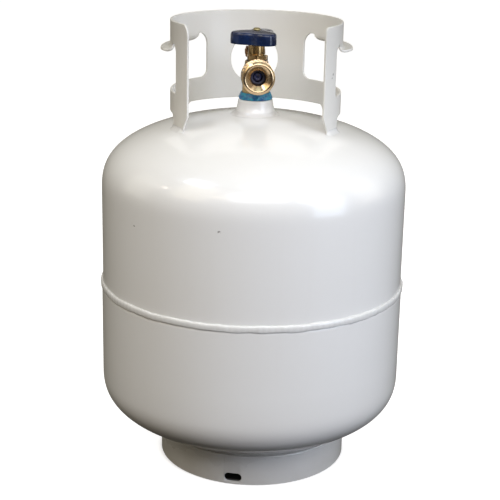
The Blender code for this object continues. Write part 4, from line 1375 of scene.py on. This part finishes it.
# softboxes: azimuth from the front towards the right, elevation, distance, size, power
SOFTBOXES = [
    ("overhead", 0, 75, 1.9, 1.6, 1.4, 1.35, (0.639, 0.743, 1.000)),
    ("top_small", 10, 66, 1.9, 0.7, 0.5, 1.66, (0.754, 1.000, 0.972)),
    ("front_high", 5, 40, 2.0, 1.4, 0.8, 16.44, (0.943, 0.947, 1.000)),
    ("front_low", 15, 12, 2.0, 1.5, 0.8, 0.54, (1.000, 0.970, 0.639)),
    ("right_high", 50, 38, 2.0, 0.9, 1.2, 8.62, (0.957, 0.958, 1.000)),
    ("right_low", 55, 10, 2.0, 0.9, 1.2, 13.43, (0.708, 0.826, 1.000)),
    ("side_right", 95, 20, 2.0, 0.9, 1.4, 4.82, (1.000, 0.972, 0.855)),
    ("left_high", -50, 38, 2.0, 0.9, 1.2, 7.22, (1.000, 0.883, 0.661)),
    ("left_low", -55, 12, 2.0, 0.9, 1.2, 0.17, (1.000, 0.639, 0.639)),
    ("side_left", -95, 20, 2.0, 0.9, 1.4, 3.36, (1.000, 0.952, 0.817)),
    ("back_high", 180, 45, 2.0, 1.4, 0.9, 3.60, (1.000, 0.960, 0.940)),
    ("blob_left", -62.6, 58.2, 2.03, 0.60, 0.36, 5.75, (0.712, 0.827, 1.000)),
    ("blob_mid_left", -26.8, 36.4, 2.06, 0.30, 0.16, 1.16, (1.000, 0.849, 0.639)),
    ("blob_far_left", -75.9, 33.7, 2.03, 0.16, 0.14, 0.76, (1.000, 0.819, 0.708)),
    ("blob_mid", 12.8, 34.3, 2.07, 0.32, 0.07, 0.00, (1.000, 1.000, 1.000)),
    ("blob_mid_right", 37.8, 26.2, 2.06, 0.32, 0.06, 0.83, (0.671, 0.812, 1.000)),
    ("blob_right", 49.9, 15.4, 2.05, 0.30, 0.26, 2.34, (0.745, 0.760, 1.000)),
    ("broad_right", 69.5, 60.1, 2.02, 0.90, 0.45, 0.48, (0.803, 1.000, 0.937)),
    ("blob_far_right", 128.4, 31.1, 1.98, 0.40, 0.35, 0.00, (1.000, 1.000, 1.000)),
]


def build_stage():
    bm = bmesh.new()
    bmesh.ops.create_grid(bm, x_segments=40, y_segments=40, size=8.0)
    mesh = bpy.data.meshes.new("floor")
    bm.to_mesh(mesh)
    bm.free()
    floor = bpy.data.objects.new("floor", mesh)
    bpy.context.scene.collection.objects.link(floor)
    floor.location = (0, 0, -0.0002)
    m = Nodes("pale_floor")
    # the floor glows faintly, like a lit sweep; under the tank and just round the foot ring the glow fades out and the
    # colour turns near black, a painted shadow
    x, y, z = m.xyz()
    away = m.math("SQRT", m.math("ADD", m.math("POWER", m.math("ADD", x, -0.0036), 2.0), m.math("POWER", y, 2.0)))
    glow_and_painted_shadow = m.remap(away, 0.088, 0.104, 0.0, 0.90, smooth=True)
    m.set(
        Base_Color=m.mix(m.remap(away, 0.086, 0.097, 0.0, 1.0), (0.03, 0.03, 0.03), (0.52, 0.52, 0.52)),
        Roughness=0.9,
        Specular_IOR_Level=0.0,
        Emission_Strength=glow_and_painted_shadow,
    )
    m.shader.inputs["Emission Color"].default_value = (1.0, 1.0, 1.0, 1.0)
    mesh.materials.append(m.mat)
    floor.visible_diffuse = False
    floor.visible_glossy = False
    floor.visible_shadow = False

    # studio surround: a soft tent that is brighter overhead and on one side
    world = bpy.data.worlds.new("studio")
    bpy.context.scene.world = world
    world.use_nodes = True
    tree = world.node_tree
    back = tree.nodes["Background"]
    coords = tree.nodes.new("ShaderNodeTexCoord")
    total = None
    for direction, power, colour, strength in WORLD_LOBES:
        dot = tree.nodes.new("ShaderNodeVectorMath")
        dot.operation = "DOT_PRODUCT"
        tree.links.new(coords.outputs["Generated"], dot.inputs[0])
        dot.inputs[1].default_value = Vector(direction).normalized()
        half = tree.nodes.new("ShaderNodeMath")
        half.operation = "MULTIPLY_ADD"
        tree.links.new(dot.outputs["Value"], half.inputs[0])
        half.inputs[1].default_value = 0.5
        half.inputs[2].default_value = 0.5
        half.use_clamp = True
        lobe = tree.nodes.new("ShaderNodeMath")
        lobe.operation = "POWER"
        tree.links.new(half.outputs[0], lobe.inputs[0])
        lobe.inputs[1].default_value = power
        tint = tree.nodes.new("ShaderNodeVectorMath")
        tint.operation = "SCALE"
        tint.inputs[0].default_value = tuple(c * strength for c in colour)
        tree.links.new(lobe.outputs[0], tint.inputs["Scale"])
        if total is None:
            total = tint.outputs[0]
        else:
            add = tree.nodes.new("ShaderNodeVectorMath")
            add.operation = "ADD"
            tree.links.new(total, add.inputs[0])
            tree.links.new(tint.outputs[0], add.inputs[1])
            total = add.outputs[0]
    tree.links.new(total, back.inputs["Color"])
    back.inputs["Strength"].default_value = 1.0

    for name, az, el, distance, size, size_y, power, colour in SOFTBOXES:
        a, e = math.radians(az), math.radians(el)
        aim = Vector((0.0, 0.0, 0.24))
        place = aim + Vector((math.sin(a) * math.cos(e), -math.cos(a) * math.cos(e), math.sin(e))) * distance
        area(name, place, aim, size, power, colour, size_y)


def build_camera():
    yaw, pitch, roll = (math.radians(v) for v in (-0.109, 17.03, -1.14))
    r0 = Vector((math.cos(yaw), -math.sin(yaw), 0))
    fwd = Vector((math.sin(yaw) * math.cos(pitch), math.cos(yaw) * math.cos(pitch), -math.sin(pitch)))
    u0 = r0.cross(fwd)
    right = math.cos(roll) * r0 - math.sin(roll) * u0
    up = math.sin(roll) * r0 + math.cos(roll) * u0
    data = bpy.data.cameras.new("camera")
    data.sensor_width = 36.0
    data.lens = 1302.0 / 500.0 * 36.0
    cam = bpy.data.objects.new("camera", data)
    bpy.context.scene.collection.objects.link(cam)
    cam.matrix_world = Matrix(
        (
            (right.x, up.x, -fwd.x, 0.0),
            (right.y, up.y, -fwd.y, -1.299),
            (right.z, up.z, -fwd.z, 0.619),
            (0, 0, 0, 1),
        )
    )
    bpy.context.scene.camera = cam
    bpy.context.scene.view_settings.view_transform = "Standard"


build_camera()
build_stage()
build_shell()
build_girth_bead()
build_foot()
build_collar()
build_boss()
build_outlet()
build_casting()
build_bonnet()
build_handwheel()
build_small()
